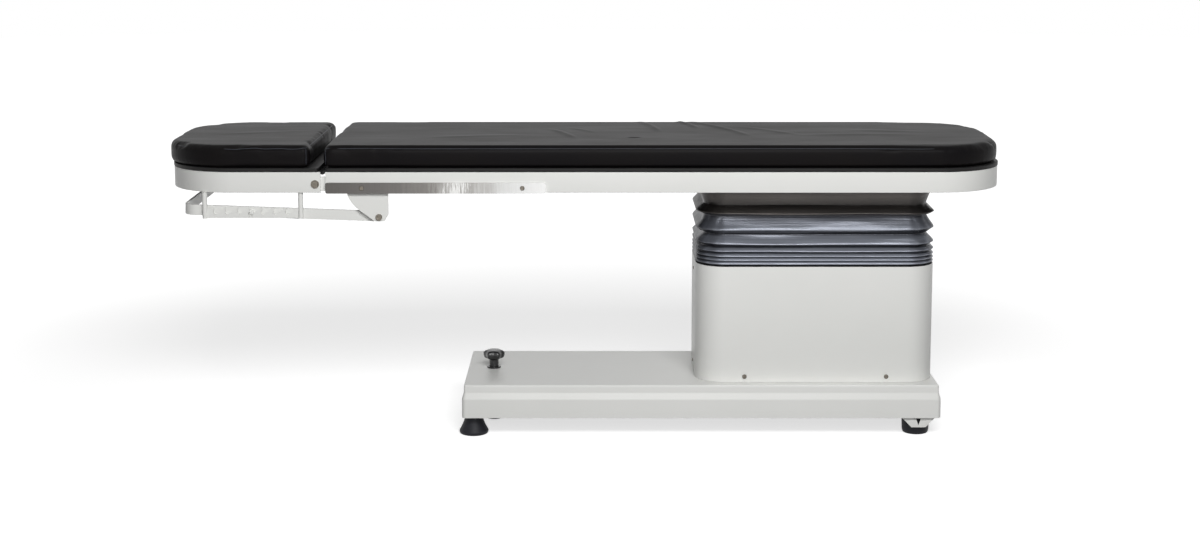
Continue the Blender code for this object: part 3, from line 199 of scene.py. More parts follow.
ground.node(
    "ShaderNodeOutputMaterial",
    None,
    {"Surface": ground.node("ShaderNodeMixShader", None, {0: seen_directly(ground), 1: dull, 2: lit})},
)
floor_mesh.materials.append(floor_paint)
floor = placed("floor", floor_mesh)


def soft_lamp(name, place, aim, width, height, power):
    """A rectangular lamp at a place, turned so that its face looks at a point."""
    panel = bpy.data.lights.new(name, "AREA")
    panel.shape = "RECTANGLE"
    panel.size = width
    panel.size_y = height
    panel.energy = power
    lamp = placed(name, panel)
    away = np.array(aim, float) - np.array(place, float)
    level = math.hypot(away[0], away[1])
    lamp.location = place
    lamp.rotation_euler = (math.pi / 2 + math.atan2(away[2], level), 0, math.atan2(-away[0], away[1]))


table_middle = (0.1, 0, 0.45)
soft_lamp("key_box", (0.5, -3.4, 2.7), table_middle, 2.2, 1.0, 112)
soft_lamp("fill_box", (0.1, -4.6, 1.7), table_middle, 2.0, 1.2, 48)


# Base cover. A shallow tray of bent steel sheet, turned over the base plate: an upright skirt, a
# shoulder that steps in 5 mm, a second upright tier and a rounded top edge; powder coated white.
# It is open under the column and round the floor jack's spindle.
def finish(name, recipe):
    """A material with a Principled BSDF whose sockets get what recipe(start) returns."""
    material = bpy.data.materials.new(name)
    material.use_nodes = True
    shader = material.node_tree.nodes["Principled BSDF"]
    for socket, value in recipe(Wire(material.node_tree)).items():
        if isinstance(value, Wire):
            material.node_tree.links.new(value.socket, shader.inputs[socket])
        else:
            shader.inputs[socket].default_value = value
    return material


def grain(start, scale, detail=2.0, roughness=0.5, stretch=(1, 1, 1)):
    """Noise from 0 to 1 in the piece's own place; scale is in cells per metre."""
    place = start.node("ShaderNodeTexCoord", output="Object")
    drawn = start.node("ShaderNodeMapping", None, {"Vector": place, "Scale": stretch})
    values = {"Vector": drawn, "Scale": scale, "Detail": detail, "Roughness": roughness}
    return start.node("ShaderNodeTexNoise", None, values)


def mixed(start, share, low, high):
    """A colour between low and high by share; low and high are colours or wires."""
    ends = {6: low, 7: high}
    values = {key: end if isinstance(end, Wire) else (*end, 1.0) for key, end in ends.items()}
    return start.node("ShaderNodeMix", {"data_type": "RGBA"}, {0: share, **values}, 2)


def raised(start, height, depth, strength=1.0):
    """A bump whose full height is depth in metres."""
    return start.node("ShaderNodeBump", None, {"Height": height, "Distance": depth, "Strength": strength})


def powder_coat(start):
    """Off-white powder coat: fine orange peel, soft uneven gloss and a faint drift of tone."""
    peel = grain(start, 420, 1.0)
    drift = grain(start, 5, 3.0)
    return {
        "Base Color": mixed(start, drift, (0.735, 0.740, 0.715), (0.785, 0.785, 0.765)),
        "Roughness": 0.30 + 0.12 * grain(start, 60, 3.0),
        "Specular IOR Level": 0.32,
        "Normal": raised(start, peel, 0.00035, 0.35),
    }


white_paint = finish("white_powder_coat", powder_coat)


def eased_line(points, cuts, steps=4):
    """Straight runs through points, each inner corner replaced by (1-t)^2 a + 2t(1-t) corner + t^2 b.

    a and b lie on the two runs at the corner's cut distance.
    """
    points = np.asarray(points, float)
    corner = points[1:-1]
    cuts = np.broadcast_to(np.asarray(cuts, float), len(corner))[:, None]
    back = points[:-2] - corner
    forth = points[2:] - corner
    a = corner + cuts * back / np.linalg.norm(back, axis=1, keepdims=True)
    b = corner + cuts * forth / np.linalg.norm(forth, axis=1, keepdims=True)
    t = np.linspace(0, 1, steps + 1)[None, :, None]
    curves = (1 - t) ** 2 * a[:, None] + 2 * t * (1 - t) * corner[:, None] + t**2 * b[:, None]
    return np.vstack([points[:1], curves.reshape(-1, points.shape[1]), points[-1:]])


def plan_rings(x_low, x_high, half_width, low_radius, high_radius, insets, arc_steps=12, side_steps=8):
    """Rounded rectangles, one a row, each drawn in by its inset: corner centre + radius (cos a, sin a).

    The corner radius shrinks with the inset down to 0.2 mm; the long sides are split evenly. Columns run
    counter-clockwise from the middle of the high end.
    """
    insets = np.asarray(insets, float)[:, None]
    turn = np.linspace(0, np.pi / 2, arc_steps + 1)[None, :]
    high = np.maximum(high_radius - insets, 0.0002)
    low = np.maximum(low_radius - insets, 0.0002)
    x1, x0, y1 = x_high - insets, x_low + insets, half_width - insets
    split = np.linspace(0, 1, side_steps, endpoint=False)[None, 1:]
    long_x = (x1 - high) + (x0 + low - x1 + high) * split
    rear_x = np.hstack([x1 - high + high * np.cos(turn), long_x, x0 + low - low * np.sin(turn)])
    rear_y = np.hstack([y1 - high + high * np.sin(turn), y1 + 0 * long_x, y1 - low + low * np.cos(turn)])
    x = np.hstack([rear_x, rear_x[:, ::-1]])
    y = np.hstack([rear_y, -rear_y[:, ::-1]])
    return np.stack([x, y], -1)


def standing_on(rings, heights):
    """Points of plan rings lifted to one height a row."""
    z = np.broadcast_to(np.asarray(heights, float)[:, None, None], (*rings.shape[:2], 1))
    return np.concatenate([rings, z], -1)


def skin(name, rows, closed=False, ends=True):
    """A mesh through a grid of points: each row is a loop and meets the next row.

    closed joins the last row to the first; otherwise ends fills the first and last rows. Doubled points,
    such as a pole's, are merged and the faces are turned outwards.
    """
    rows = np.asarray(rows, float)
    index = np.arange(rows.shape[0] * rows.shape[1]).reshape(rows.shape[:2])
    low = index if closed else index[:-1]
    high = np.roll(index, -1, 0) if closed else index[1:]
    faces = np.stack([low, np.roll(low, -1, 1), np.roll(high, -1, 1), high], -1).reshape(-1, 4).tolist()
    if ends and not closed:
        faces += [index[0][::-1].tolist(), index[-1].tolist()]
    mesh = bpy.data.meshes.new(name)
    mesh.from_pydata(rows.reshape(-1, 3).tolist(), [], faces)
    shape = bmesh.new()
    shape.from_mesh(mesh)
    bmesh.ops.remove_doubles(shape, verts=shape.verts, dist=1e-6)
    bmesh.ops.recalc_face_normals(shape, faces=shape.faces)
    shape.to_mesh(mesh)
    shape.free()
    return mesh


def fit(name, mesh, material, body, stands_for=(), sharp=40):
    """Puts a finished mesh on a body; it stands for the named nodes, which are hidden."""
    mesh.materials.clear()
    mesh.materials.append(material)
    mesh.shade_smooth()
    mesh.set_sharp_from_angle(angle=math.radians(sharp))
    piece = placed(name, mesh)
    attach(piece, body)
    if stands_for:
        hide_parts(*stands_for)
    return piece


def baked(piece):
    """The piece's mesh with its modifiers applied; the piece itself is removed."""
    graph = bpy.context.evaluated_depsgraph_get()
    mesh = bpy.data.meshes.new_from_object(piece.evaluated_get(graph))
    bpy.data.objects.remove(piece)
    return mesh


def pierced(mesh, outline, low, high):
    """The mesh less an upright prism: the plan outline carried from low to high is cut away."""
    drill = placed("drill", skin("prism", standing_on(np.stack([outline, outline]), [low, high])))
    plate = placed("plate", mesh)
    cut = plate.modifiers.new("hole", "BOOLEAN")
    cut.object = drill
    cut.solver = "EXACT"
    holed = baked(plate)
    bpy.data.objects.remove(drill)
    return holed


base_low, base_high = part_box("base_cover")
base_half = base_high.y
base_wall = 0.002
skirt_top, shoulder_top, base_top = 0.095, 0.111, base_high.z
shoulder_inset, fold_edge, top_edge, top_flat = 0.005, 0.0022, 0.004, 0.060
base_corner = 0.010
tray_line = [
    (0.0, base_low.z),
    (0.0, skirt_top),
    (shoulder_inset, shoulder_top),
    (shoulder_inset, base_top),
    (top_flat, base_top),
]
outside = eased_line(tray_line, [fold_edge, fold_edge, top_edge], 5)
below_flat = outside[::-1, :1] < top_flat - 1e-9
inside = outside[::-1] + np.where(below_flat, (base_wall, 0.0), (0.0, -base_wall))
inside[:, 1] = np.minimum(inside[:, 1], base_top - base_wall)
tray = np.vstack([inside, outside])
base_rings = plan_rings(base_low.x, base_high.x, base_half, base_corner, base_corner, tray[:, 0], 8, 12)
jack_low, jack_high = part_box("jack_collar")
spindle_hole, drill_reach = 0.0135, 0.01
hole_turn = np.linspace(0, 2 * np.pi, 48, endpoint=False)
jack_centre = np.array([(jack_low.x + jack_high.x) / 2, (jack_low.y + jack_high.y) / 2])
jack_hole = jack_centre + spindle_hole * np.stack([np.cos(hole_turn), np.sin(hole_turn)], 1)
column_low, column_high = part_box("column_cover")
cover_corner, well_inset = 0.070, 0.020
cover_plan = (column_low.x, column_high.x, column_high.y, cover_corner, cover_corner)
column_well = plan_rings(*cover_plan, [well_inset], 10, 2)[0]
tray_mesh = skin("base_tray", standing_on(base_rings, tray[:, 1]))
for outline in (jack_hole, column_well):
    tray_mesh = pierced(tray_mesh, outline, base_top - drill_reach, base_top + drill_reach)
fit("base_tray", tray_mesh, white_paint, "base", ["base_cover"])


# Column cover. A sheet-steel tube with wide rounded corners, powder coated like the base. Its edges
# are eased, and its top rim holds the bellows' lower end.
cover_wall, hem, wall_start = 0.002, 0.0007, column_low.z + 0.1
wall_line = eased_line(
    [
        (cover_wall, wall_start),
        (cover_wall, column_low.z),
        (0.0, column_low.z),
        (0.0, column_high.z),
        (cover_wall, column_high.z),
        (cover_wall, wall_start),
    ],
    hem,
    3,
)[1:]
cover_rings = plan_rings(*cover_plan, wall_line[:, 0], 24, 10)
fit(
    "column_shell",
    skin("column_shell", standing_on(cover_rings, wall_line[:, 1]), closed=True),
    white_paint,
    "base",
    ["column_cover"],
)


# Fasteners and small rigid parts. Each is a copy of its solid with the doubled points merged and a
# fine bevel on its edges, as a deburred or moulded edge catches light; it rides where the solid does.
# The two screw heads on the column's head-end face are only here.
def deburred(node, material, width, segments=2, sharp=35):
    """A copy of a node with flat faces merged and every edge over 30 degrees bevelled by width."""
    source = frame["nodes"][node]
    shape = bmesh.new()
    shape.from_mesh(source.data)
    bmesh.ops.remove_doubles(shape, verts=shape.verts, dist=2e-5)
    bmesh.ops.dissolve_limit(shape, angle_limit=math.radians(1), verts=shape.verts, edges=shape.edges)
    mesh = bpy.data.meshes.new(node + "_deburred")
    shape.to_mesh(mesh)
    shape.free()
    piece = fit(node + "_deburred", mesh, material, source["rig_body"], [node], sharp=sharp)
    bevel = piece.modifiers.new("deburred", "BEVEL")
    bevel.width = width
    bevel.segments = segments
    bevel.limit_method = "ANGLE"
    bevel.angle_limit = math.radians(30)
    bevel.harden_normals = True
    return piece


def zinc_plating(start):
    """Plated steel: grey with a warm cast, cloudy gloss and a fine grain."""
    cloud = grain(start, 300, 4.0)
    return {
        "Base Color": mixed(start, cloud, (0.070, 0.062, 0.052), (0.22, 0.20, 0.17)),
        "Metallic": 1.0,
        "Roughness": 0.24 + 0.26 * cloud,
        "Normal": raised(start, grain(start, 2500, 2.0), 0.0001, 0.4),
    }


zinc = finish("zinc_plated_steel", zinc_plating)
bolt_edge, screw_edge, bar_edge, bracket_edge = 0.0004, 0.0003, 0.0007, 0.0005
for place in ("front", "rear"):
    deburred("hinge_bolt_" + place, zinc, bolt_edge)
    deburred("bail_pivot_bolt_" + place, zinc, bolt_edge)
    for end in ("head", "foot"):
        deburred(f"rail_screw_{place}_{end}", zinc, screw_edge)
        deburred(f"cover_screw_{place}_{end}", zinc, screw_edge)
head_radius, head_rise = 0.0046, 0.0022
dome = np.linspace(0, np.pi / 2, 6)[:, None]
reach = np.vstack([head_radius * np.sin(dome), [[0.0]]])
proud = np.vstack([head_rise * np.cos(dome), [[0.0]]])
spin = np.linspace(0, 2 * np.pi, 24, endpoint=False)[None, :]
for place, height in (("upper", 0.386), ("lower", 0.150)):
    head_y, head_z = reach * np.cos(spin), height + reach * np.sin(spin)
    head = np.stack([column_low.x - np.broadcast_to(proud, head_y.shape), head_y, head_z], -1)
    name = "end_screw_" + place
    fit(name, skin(name, head, ends=False), zinc, "base")
for node in ("bail", "notch_hanger_front", "notch_hanger_rear"):
    deburred(node, white_paint, bar_edge)
for node in (
    "bail_bracket_front",
    "bail_bracket_rear",
    "hinge_lug_front",
    "hinge_lug_rear",
    "foot_bracket_front",
    "foot_bracket_rear",
    "head_cross_bar",
    "cross_member_head",
    "cross_member_column_head_side",
    "cross_member_column_foot_side",
):
    deburred(node, white_paint, bracket_edge)


# Frame bands. Flat steel, 49 by 5 mm, bent round each end of the top and left open at the hinge;
# the edges are broken by about a millimetre before the powder coat.
def swept(path, outward, section):
    """Points of a section of (offset, height) carried along a plan path with its outward directions."""
    across = path[:, None, :] + outward[:, None, :] * section[None, :, :1]
    height = np.broadcast_to(section[None, :, 1:], (*across.shape[:2], 1))
    return np.concatenate([across, height], -1)


def bent_bar(open_x, end_x, half_width, radius, steps=40):
    """Plan path of a U and its outward way: along one side, round two quarter circles and back."""
    way = math.copysign(1.0, end_x - open_x)
    turn = np.linspace(np.pi / 2, 0, steps + 1)
    arc = np.stack([np.cos(turn), np.sin(turn)], 1)
    quarter = np.array([abs(end_x) - radius, half_width - radius]) + radius * arc
    first = np.vstack([[way * open_x, half_width], quarter])
    facing = np.vstack([[0.0, 1.0], arc])
    path = np.vstack([first, first[::-1] * (1, -1)])
    outward = np.vstack([facing, facing[::-1] * (1, -1)])
    return path * (way, 1), outward * (way, 1)


frame_low, frame_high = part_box("main_frame")
band_wall, band_edge, top_half, end_radius = 0.005, 0.0011, 0.250, 0.165
band_middle = (frame_low.z + frame_high.z) / 2
band_loop = eased_line(
    [
        (-band_wall, band_middle),
        (-band_wall, frame_low.z),
        (0.0, frame_low.z),
        (0.0, frame_high.z),
        (-band_wall, frame_high.z),
        (-band_wall, band_middle),
    ],
    band_edge,
    4,
)[1:]
for node, body, at_hinge, at_end in (
    ("main_frame", "table_top", frame_low.x, frame_high.x),
    ("head_frame", "head_section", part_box("head_frame")[1].x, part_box("head_frame")[0].x),
):
    path, outward = bent_bar(at_hinge, at_end, top_half, end_radius)
    band = swept(path, outward, band_loop)
    fit(node + "_band", skin(node + "_band", band), white_paint, body, [node])


# Accessory rails. Flat stainless bar screwed to each side of the frame, brushed across its height;
# its colour carries a painted reflection, darker towards the head end.
def brushed_bar(start):
    """Stainless bar with fine upright brush lines, and a painted reflection that darkens its head half.

    Its tone follows the share of the way along, moved a little by the lines; one patch is a painted
    highlight.
    """
    rail_head, rail_foot = -0.6094, -0.0894
    place = start.node("ShaderNodeTexCoord", output="Object")
    along = start.node("ShaderNodeSeparateXYZ", None, {"Vector": place}, "X")
    lines = grain(start, 40, 6.0, 0.75, (8.0, 1.0, 0.5))
    waves = grain(start, 6, 2.0, 0.5, (14.0, 1.0, 0.4))
    bar = {"Value": along, "From Min": rail_head, "From Max": rail_foot, "To Min": 0.0, "To Max": 1.0}
    share = start.node("ShaderNodeMapRange", None, bar)
    # painted reflection along the bar: dark at the head half, a bright painted highlight past the middle,
    # lighter towards the foot end
    stops = [
        (0.00, (0.080, 0.076, 0.072)),
        (0.30, (0.105, 0.100, 0.096)),
        (0.48, (0.150, 0.143, 0.135)),
        (0.56, (0.270, 0.265, 0.255)),
        (0.585, (0.520, 0.520, 0.510)),
        (0.605, (0.500, 0.500, 0.490)),
        (0.63, (0.230, 0.225, 0.215)),
        (0.70, (0.290, 0.285, 0.275)),
        (0.80, (0.400, 0.400, 0.395)),
        (1.00, (0.480, 0.480, 0.475)),
    ]
    moved = share + 0.34 * (lines - 0.5) + 0.06 * (waves - 0.5)
    tone = start.node("ShaderNodeValToRGB", {"stops": stops}, {"Fac": moved})
    return {
        "Base Color": tone,
        "Metallic": 1.0,
        "Roughness": 0.44 - 0.14 * lines,
        "Normal": raised(start, lines, 0.0002, 0.35),
    }


brushed = finish("brushed_stainless", brushed_bar)
rail_edge = 0.0006
for place in ("front", "rear"):
    deburred("side_rail_" + place, brushed, rail_edge, 3)


# Decks. Black laminated boards that stand a millimetre proud of the frame bands and carry the pads;
# each is a plan outline with its two edges eased.
def laminate(start):
    """Black laminate: fine pebble, slightly worn and lighter in patches."""
    wear = grain(start, 25, 4.0)
    return {
        "Base Color": mixed(start, wear, (0.006, 0.006, 0.006), (0.016, 0.015, 0.015)),
        "Roughness": 0.42 + 0.2 * wear,
        "Specular IOR Level": 0.15,
        "Normal": raised(start, grain(start, 900, 2.0), 0.0002, 0.3),
    }


black_board = finish("black_laminate", laminate)
board_edge, board_lip = 0.0009, 0.01
for node, body, low_radius, high_radius in (
    ("main_deck", "table_top", 0.006, end_radius + 0.001),
    ("head_deck", "head_section", end_radius + 0.001, 0.006),
):
    low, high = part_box(node)
    side = [(board_lip, low.z), (0, low.z), (0, high.z), (board_lip, high.z)]
    side = eased_line(side, board_edge, 3)
    rings = plan_rings(low.x, high.x, high.y, low_radius, high_radius, side[:, 0], 36, 6)
    fit(node + "_board", skin(node + "_board", standing_on(rings, side[:, 1])), black_board, body, [node])


# Pads. Foam in sewn black upholstery vinyl. The foam pushes the cover out until it is tight, so the
# tops crown a little and the sides belly; the tops keep the creases of use, and cords mark the seams.
def upholstery_vinyl(start):
    """Satin vinyl: pebble from cells and noise, faint smears and a warm bloom from handling."""
    place = start.node("ShaderNodeTexCoord", output="Object")
    cell = {"Vector": place, "Scale": 620.0, "Smoothness": 0.6}
    cells = start.node("ShaderNodeTexVoronoi", {"feature": "SMOOTH_F1"}, cell)
    fine = grain(start, 1500, 3.0)
    smear = grain(start, 9, 5.0, 0.6, (0.5, 1.6, 1.6))
    pebble = 0.7 * cells + 0.3 * fine
    return {
        "Base Color": mixed(start, smear, (0.0026, 0.0025, 0.0038), (0.0070, 0.0058, 0.0052)),
        "Roughness": 0.33 + 0.18 * smear,
        "Specular IOR Level": 0.048,
        "Normal": raised(start, pebble, 0.0003, 0.45),
    }


def painted_highlight_vinyl(start):
    """The same vinyl, lighter grey-blue on the seam cords as a painted highlight along the pads' edges.
    """
    highlight_patch = grain(start, 30, 5.0, 0.6, (0.4, 1.0, 1.0))
    return {
        "Base Color": mixed(start, highlight_patch, (0.0050, 0.0055, 0.0080), (0.040, 0.044, 0.056)),
        "Roughness": 0.40 + 0.15 * highlight_patch,
        "Specular IOR Level": 0.20,
        "Normal": raised(start, grain(start, 1500, 3.0), 0.0002, 0.4),
    }


vinyl = finish("black_upholstery_vinyl", upholstery_vinyl)
# the seam cords carry a painted highlight along the pads' edges
seam_highlight_vinyl = finish("painted_highlight_seam_vinyl", painted_highlight_vinyl)
pad_edge, pad_corner = 0.012, 0.016


def cushion(name, low, high, low_radius, high_radius, shrink):
    """The cut foam: plan rings drawn in along a quarter circle at the lower and upper edges."""
    turn = np.linspace(0, np.pi / 2, 6)
    rising, falling = pad_edge * (1 - np.cos(turn)), pad_edge * (1 - np.sin(turn))
    inset = np.concatenate([falling, rising])
    height = np.concatenate([low.z + rising, high.z - shrink - falling])
    plan = (low.x + shrink, high.x - shrink, high.y - shrink, low_radius, high_radius)
    return skin(name, standing_on(plan_rings(*plan, inset, 16, 24), height))


def vertex_places(mesh):
    """The mesh's points, one a row."""
    flat = np.zeros(len(mesh.vertices) * 3)
    mesh.vertices.foreach_get("co", flat)
    return flat.reshape(-1, 3)


def swollen(mesh, voxel, travel, frames=20):
    """The cover under foam pressure, with its points at rest and blown out.

    The voxel-remeshed mesh runs as cloth without gravity. Each point's way loses the part that leads
    inwards in plan, and is then cut to travel.
    """
    source = placed("cloth_source", mesh)
    remesh = source.modifiers.new("even", "REMESH")
    remesh.mode = "VOXEL"
    remesh.voxel_size = voxel
    even = baked(source)
    rest = vertex_places(even)
    cloth_piece = placed("cloth_piece", even)
    cloth = cloth_piece.modifiers.new("cloth", "CLOTH")
    cloth.settings.use_pressure = True
    cloth.settings.uniform_pressure_force = 4.0
    cloth.settings.effector_weights.gravity = 0.0
    cloth.settings.quality = 4
    for number in range(1, frames + 1):
        bpy.context.scene.frame_set(number)
    blown_mesh = baked(cloth_piece)
    blown = vertex_places(blown_mesh)
    bpy.data.meshes.remove(blown_mesh)
    bpy.context.scene.frame_set(1)
    way = blown - rest
    low, high = rest.min(0)[:2], rest.max(0)[:2]
    centre = np.array([(high[0] + low[0]) / 2, 0.0])
    core = high - end_radius - centre
    out = rest[:, :2] - centre - np.clip(rest[:, :2] - centre, -core, core)
    out /= np.maximum(np.linalg.norm(out, axis=1, keepdims=True), 1e-6)
    inward = np.minimum((way[:, :2] * out).sum(1, keepdims=True), 0.0)
    way[:, :2] -= inward * out
    length = np.linalg.norm(way, axis=1, keepdims=True)
    capped = way * np.minimum(1.0, travel / np.maximum(length, 1e-9))
    return even, rest, rest + capped


def creases(points, lines, top):
    """Height of soft creases on a pad's top: each is a ridge beside a valley that fades at its ends.

    A line is (x, y, length, angle, width, height) and bows a little to one side. Its profile is
    height (1 - 1.2 s) exp(-s^2), with s the distance across in widths, and it fades as exp(-t^4), with t
    the way along in half lengths. Points more than 12 mm below the top stay.
    """
    bow, valley, reach, fade = 0.12, 1.2, 0.012, 0.010
    total = np.zeros(len(points))
    for x, y, length, angle, width, height in lines:
        dx, dy = points[:, 0] - x, points[:, 1] - y
        along = dx * math.cos(angle) + dy * math.sin(angle)
        across = (dy * math.cos(angle) - dx * math.sin(angle) + bow * along**2 / length) / width
        total += height * (1 - valley * across) * np.exp(-(across**2) - (2 * along / length) ** 4)
    return total * np.clip((points[:, 2] - top + reach) / fade, 0, 1)


def seam_cord(name, guide, outward, cover_points, radius, closed):
    """A seam's cord on the cover: the guide points go to the nearest cover points and are evened out.

    Round each of them stands a ring, way + radius (cos a outward + sin a across), carried along the seam.
    """
    gaps = ((guide[:, None, :] - cover_points[None, :, :]) ** 2).sum(-1)
    way = cover_points[gaps.argmin(1)]
    for _ in range(6):
        if closed:
            way = 0.25 * np.roll(way, 1, 0) + 0.5 * way + 0.25 * np.roll(way, -1, 0)
        else:
            way[1:-1] = 0.25 * way[:-2] + 0.5 * way[1:-1] + 0.25 * way[2:]
    if closed:
        ahead = np.roll(way, -1, 0) - np.roll(way, 1, 0)
    else:
        ahead = np.gradient(way, axis=0)
    across = np.cross(outward, ahead)
    across /= np.linalg.norm(across, axis=1, keepdims=True)
    turn = np.linspace(0, 2 * np.pi, 8, endpoint=False)[None, :, None]
    rings = way[:, None] + radius * (np.cos(turn) * outward[:, None] + np.sin(turn) * across[:, None])
    return skin(name, rings, closed=closed)


pad_creases = [
    (-0.047, -0.008, 0.17, -1.24, 0.010, 0.0024),
    (0.000, 0.060, 0.10, -1.00, 0.010, 0.0012),
    (0.121, -0.089, 0.03, 0.10, 0.005, -0.0020),
    (0.173, 0.137, 0.18, -1.37, 0.009, 0.0028),
    (0.268, 0.180, 0.14, -1.29, 0.008, 0.0026),
    (0.353, 0.097, 0.28, -1.16, 0.012, 0.0024),
    (0.470, 0.050, 0.20, -0.90, 0.016, 0.0012),
    (-0.260, -0.050, 0.22, 0.20, 0.018, 0.0008),
    (0.640, -0.020, 0.26, 0.10, 0.022, 0.0009),
    (0.760, 0.050, 0.18, -0.20, 0.018, 0.0008),
]
head_creases = [(-0.80, 0.02, 0.2, 0.3, 0.02, 0.0006)]
seam_radius, seam_gap_low, seam_gap_high = 0.0009, 0.006, 0.005
shrink, crown, flat_foot, foam_travel = 0.0015, 0.0015, 0.016, 0.0045
for node, body, low_radius, high_radius, voxel, lines in (
    ("main_pad", "table_top", pad_corner, end_radius, 0.0088, pad_creases),
    ("head_pad", "head_section", end_radius, pad_corner, 0.0062, head_creases),
):
    low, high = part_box(node)
    foam = cushion(node + "_foam", low, high, low_radius, high_radius, shrink)
    cover, rest, blown = swollen(foam, voxel, foam_travel)
    # the cover lies flat on the deck, and its top only crowns by what the foam gives
    held = np.clip((rest[:, 2] - low.z) / flat_foot, 0, 1)[:, None]
    shaped = rest + (blown - rest) * held
    shaped[:, 2] = np.clip(shaped[:, 2], low.z, high.z + crown)
    cover.vertices.foreach_set("co", shaped.ravel())
    smoothed = placed("smooth_cover", cover)
    rounding = smoothed.modifiers.new("rounding", "SUBSURF")
    rounding.levels = 1
    rounding.render_levels = 1
    final = baked(smoothed)
    points = vertex_places(final)
    points[:, 2] += creases(points, lines, high.z)
    final.vertices.foreach_set("co", points.ravel())
    final.update()
    pad = fit(node + "_cover", final, vinyl, body, [node], sharp=180)
    # one seam joins the top to the side band, and one closes each corner of the square end
    near_edge = pad_edge * (1 - math.sqrt(0.5))
    seam_plan = (low.x, high.x, high.y, low_radius, high_radius)
    plan = plan_rings(*seam_plan, [near_edge, near_edge - 0.001], 16, 60)
    facing = plan[1] - plan[0]
    facing /= np.linalg.norm(facing, axis=1, keepdims=True)
    guide = np.column_stack([plan[0], np.full(len(plan[0]), high.z - near_edge)])
    seams = {node + "_top_seam": (guide, np.column_stack([facing, np.zeros(len(facing))]), True)}
    square_x, side = (low.x, -1.0) if low_radius < high_radius else (high.x, 1.0)
    cut = pad_corner * (1 - math.sqrt(0.5))
    height = np.linspace(low.z + seam_gap_low, high.z - seam_gap_high, 24)
    for place, across_y in (("front", -1.0), ("rear", 1.0)):
        seam_x, seam_y = square_x - side * cut, across_y * (high.y - cut)
        guide = np.column_stack([0 * height + seam_x, 0 * height + seam_y, height])
        facing = np.tile([side * math.sqrt(0.5), across_y * math.sqrt(0.5), 0.0], (len(height), 1))
        seams[f"{node}_corner_seam_{place}"] = (guide, facing, False)
    for name, (guide, facing, closed) in seams.items():
        cord = seam_cord(name, guide, facing, points, seam_radius, closed)
        fit(name, cord, seam_highlight_vinyl, body)


# Hinge gusset. A strip of the pads' vinyl, held under both boards' ends, closes the gap at the hinge.
# It hangs in a shallow fold.
main_low, head_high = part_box("main_deck")[0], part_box("head_deck")[1]
strip_half, strip_sag, strip_wall, strip_lap = 0.236, 0.007, 0.0012, 0.0030
board_gap, strip_hold, ripple, strip_rows = 0.0006, 0.002, 0.0006, 40
across_gap = np.linspace(0, 1, 25)
fold_x = head_high.x - strip_lap + across_gap * (main_low.x - head_high.x + 2 * strip_lap)
fold_drop = main_low.z - board_gap - strip_sag * np.sin(np.pi * across_gap) ** 1.5
fold_line = np.stack([fold_x, fold_drop], 1)
loop = np.vstack([fold_line, fold_line[::-1] - (0.0, strip_wall)])
loop_x, loop_z = loop[None, :, 0], loop[None, :, 1]
strip_y = np.linspace(-strip_half, strip_half, strip_rows)[:, None]
in_fold = loop_z < main_low.z - strip_hold
strip = np.stack(
    [
        np.broadcast_to(loop_x, (strip_rows, len(loop))),
        np.broadcast_to(strip_y, (strip_rows, len(loop))),
        loop_z + ripple * np.sin(9 + 31 * strip_y) * in_fold,
    ],
    -1,
)
strip_mesh = skin("hinge_gusset", strip)
strip_mesh.materials.append(vinyl)
strip_mesh.shade_smooth()
gusset = placed("hinge_gusset", strip_mesh)
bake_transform(gusset)


# Bellows. One sleeve of coated cloth, bonded into pleats round the column and clamped under the
# saddle and in the cover's rim. Its weight packs the lower pleats; the upper ones hang open and
# pucker at the corners.
def coated_cloth(start):
    """Blue-grey coated cloth with a fine weave, and painted light and shade from two point attributes.

    One is a painted sheen, bright on the plates that face up and on the tips, with painted shade under
    them; the other browns the cuff and the first pleat as the table top's painted shade.
    """
    shine = start.node("ShaderNodeAttribute", {"attribute_name": "shine"}, output="Fac")
    dust = start.node("ShaderNodeAttribute", {"attribute_name": "dust"}, output="Fac")
    cloud = grain(start, 14, 4.0, 0.6, (0.35, 1.0, 3.0))
    weave = grain(start, 1600, 2.0, 0.5, (1.0, 1.0, 2.5))
    drawn = grain(start, 50, 4.0, 0.6, (0.10, 1.0, 3.2))
    # painted sheen: the painted-light attribute streaked by noise, mixing the cloth from dark painted
    # shade to a bright painted highlight
    worn = start.math("MINIMUM", shine * (0.60 + 0.50 * cloud + 0.34 * drawn), 1.0)
    woven = raised(start, weave, 0.0003, 0.5)
    creased = {"Height": drawn, "Distance": 0.0016, "Strength": 0.7, "Normal": woven}
    unshaded_tone = mixed(start, worn, (0.012, 0.012, 0.016), (0.36, 0.385, 0.445))
    # the brown tone is the table top's painted shade on the cuff and the first pleat
    brown = mixed(start, worn, (0.014, 0.012, 0.011), (0.30, 0.275, 0.26))
    return {
        "Base Color": mixed(start, dust, unshaded_tone, brown),
        "Metallic": 0.40,
        "Specular IOR Level": 0.28,
        "Roughness": 0.44 - 0.18 * cloud,
        "Normal": start.node("ShaderNodeBump", None, creased),
    }


bellows_cloth = finish("coated_bellows_cloth", coated_cloth)
tips = np.array([0.5472, 0.5075, 0.4727, 0.4552, 0.4425, 0.4330, 0.4238])
valleys = np.array([0.5662, 0.5401, 0.4935, 0.4621, 0.4473, 0.4378, 0.4284, 0.4192])
valley_depths = np.array([0.020, 0.020, 0.020, 0.019, 0.015, 0.012, 0.010, 0.007])
knots = np.empty(len(tips) + len(valleys))
knots[0::2], knots[1::2] = valleys, tips
at_knot = np.arange(len(knots))
plate_steps, roundness = 10, 0.985
phase = np.linspace(0, at_knot[-1], plate_steps * at_knot[-1] + 1)
fold_z = np.interp(phase, at_knot, knots)
zigzag = 0.5 + 0.5 * np.arcsin(roundness * np.cos(np.pi * phase)) / math.asin(roundness)
bluntness = np.interp(phase, [0, 5, 8, 14], [1.0, 1.0, 1.7, 2.2])
fold_inset = np.interp(phase, at_knot[0::2], valley_depths) * zigzag**bluntness
open_share = np.interp(phase, [0, 4, 6.5, 8, 14], [1.0, 1.0, 0.5, 0.15, 0.08])

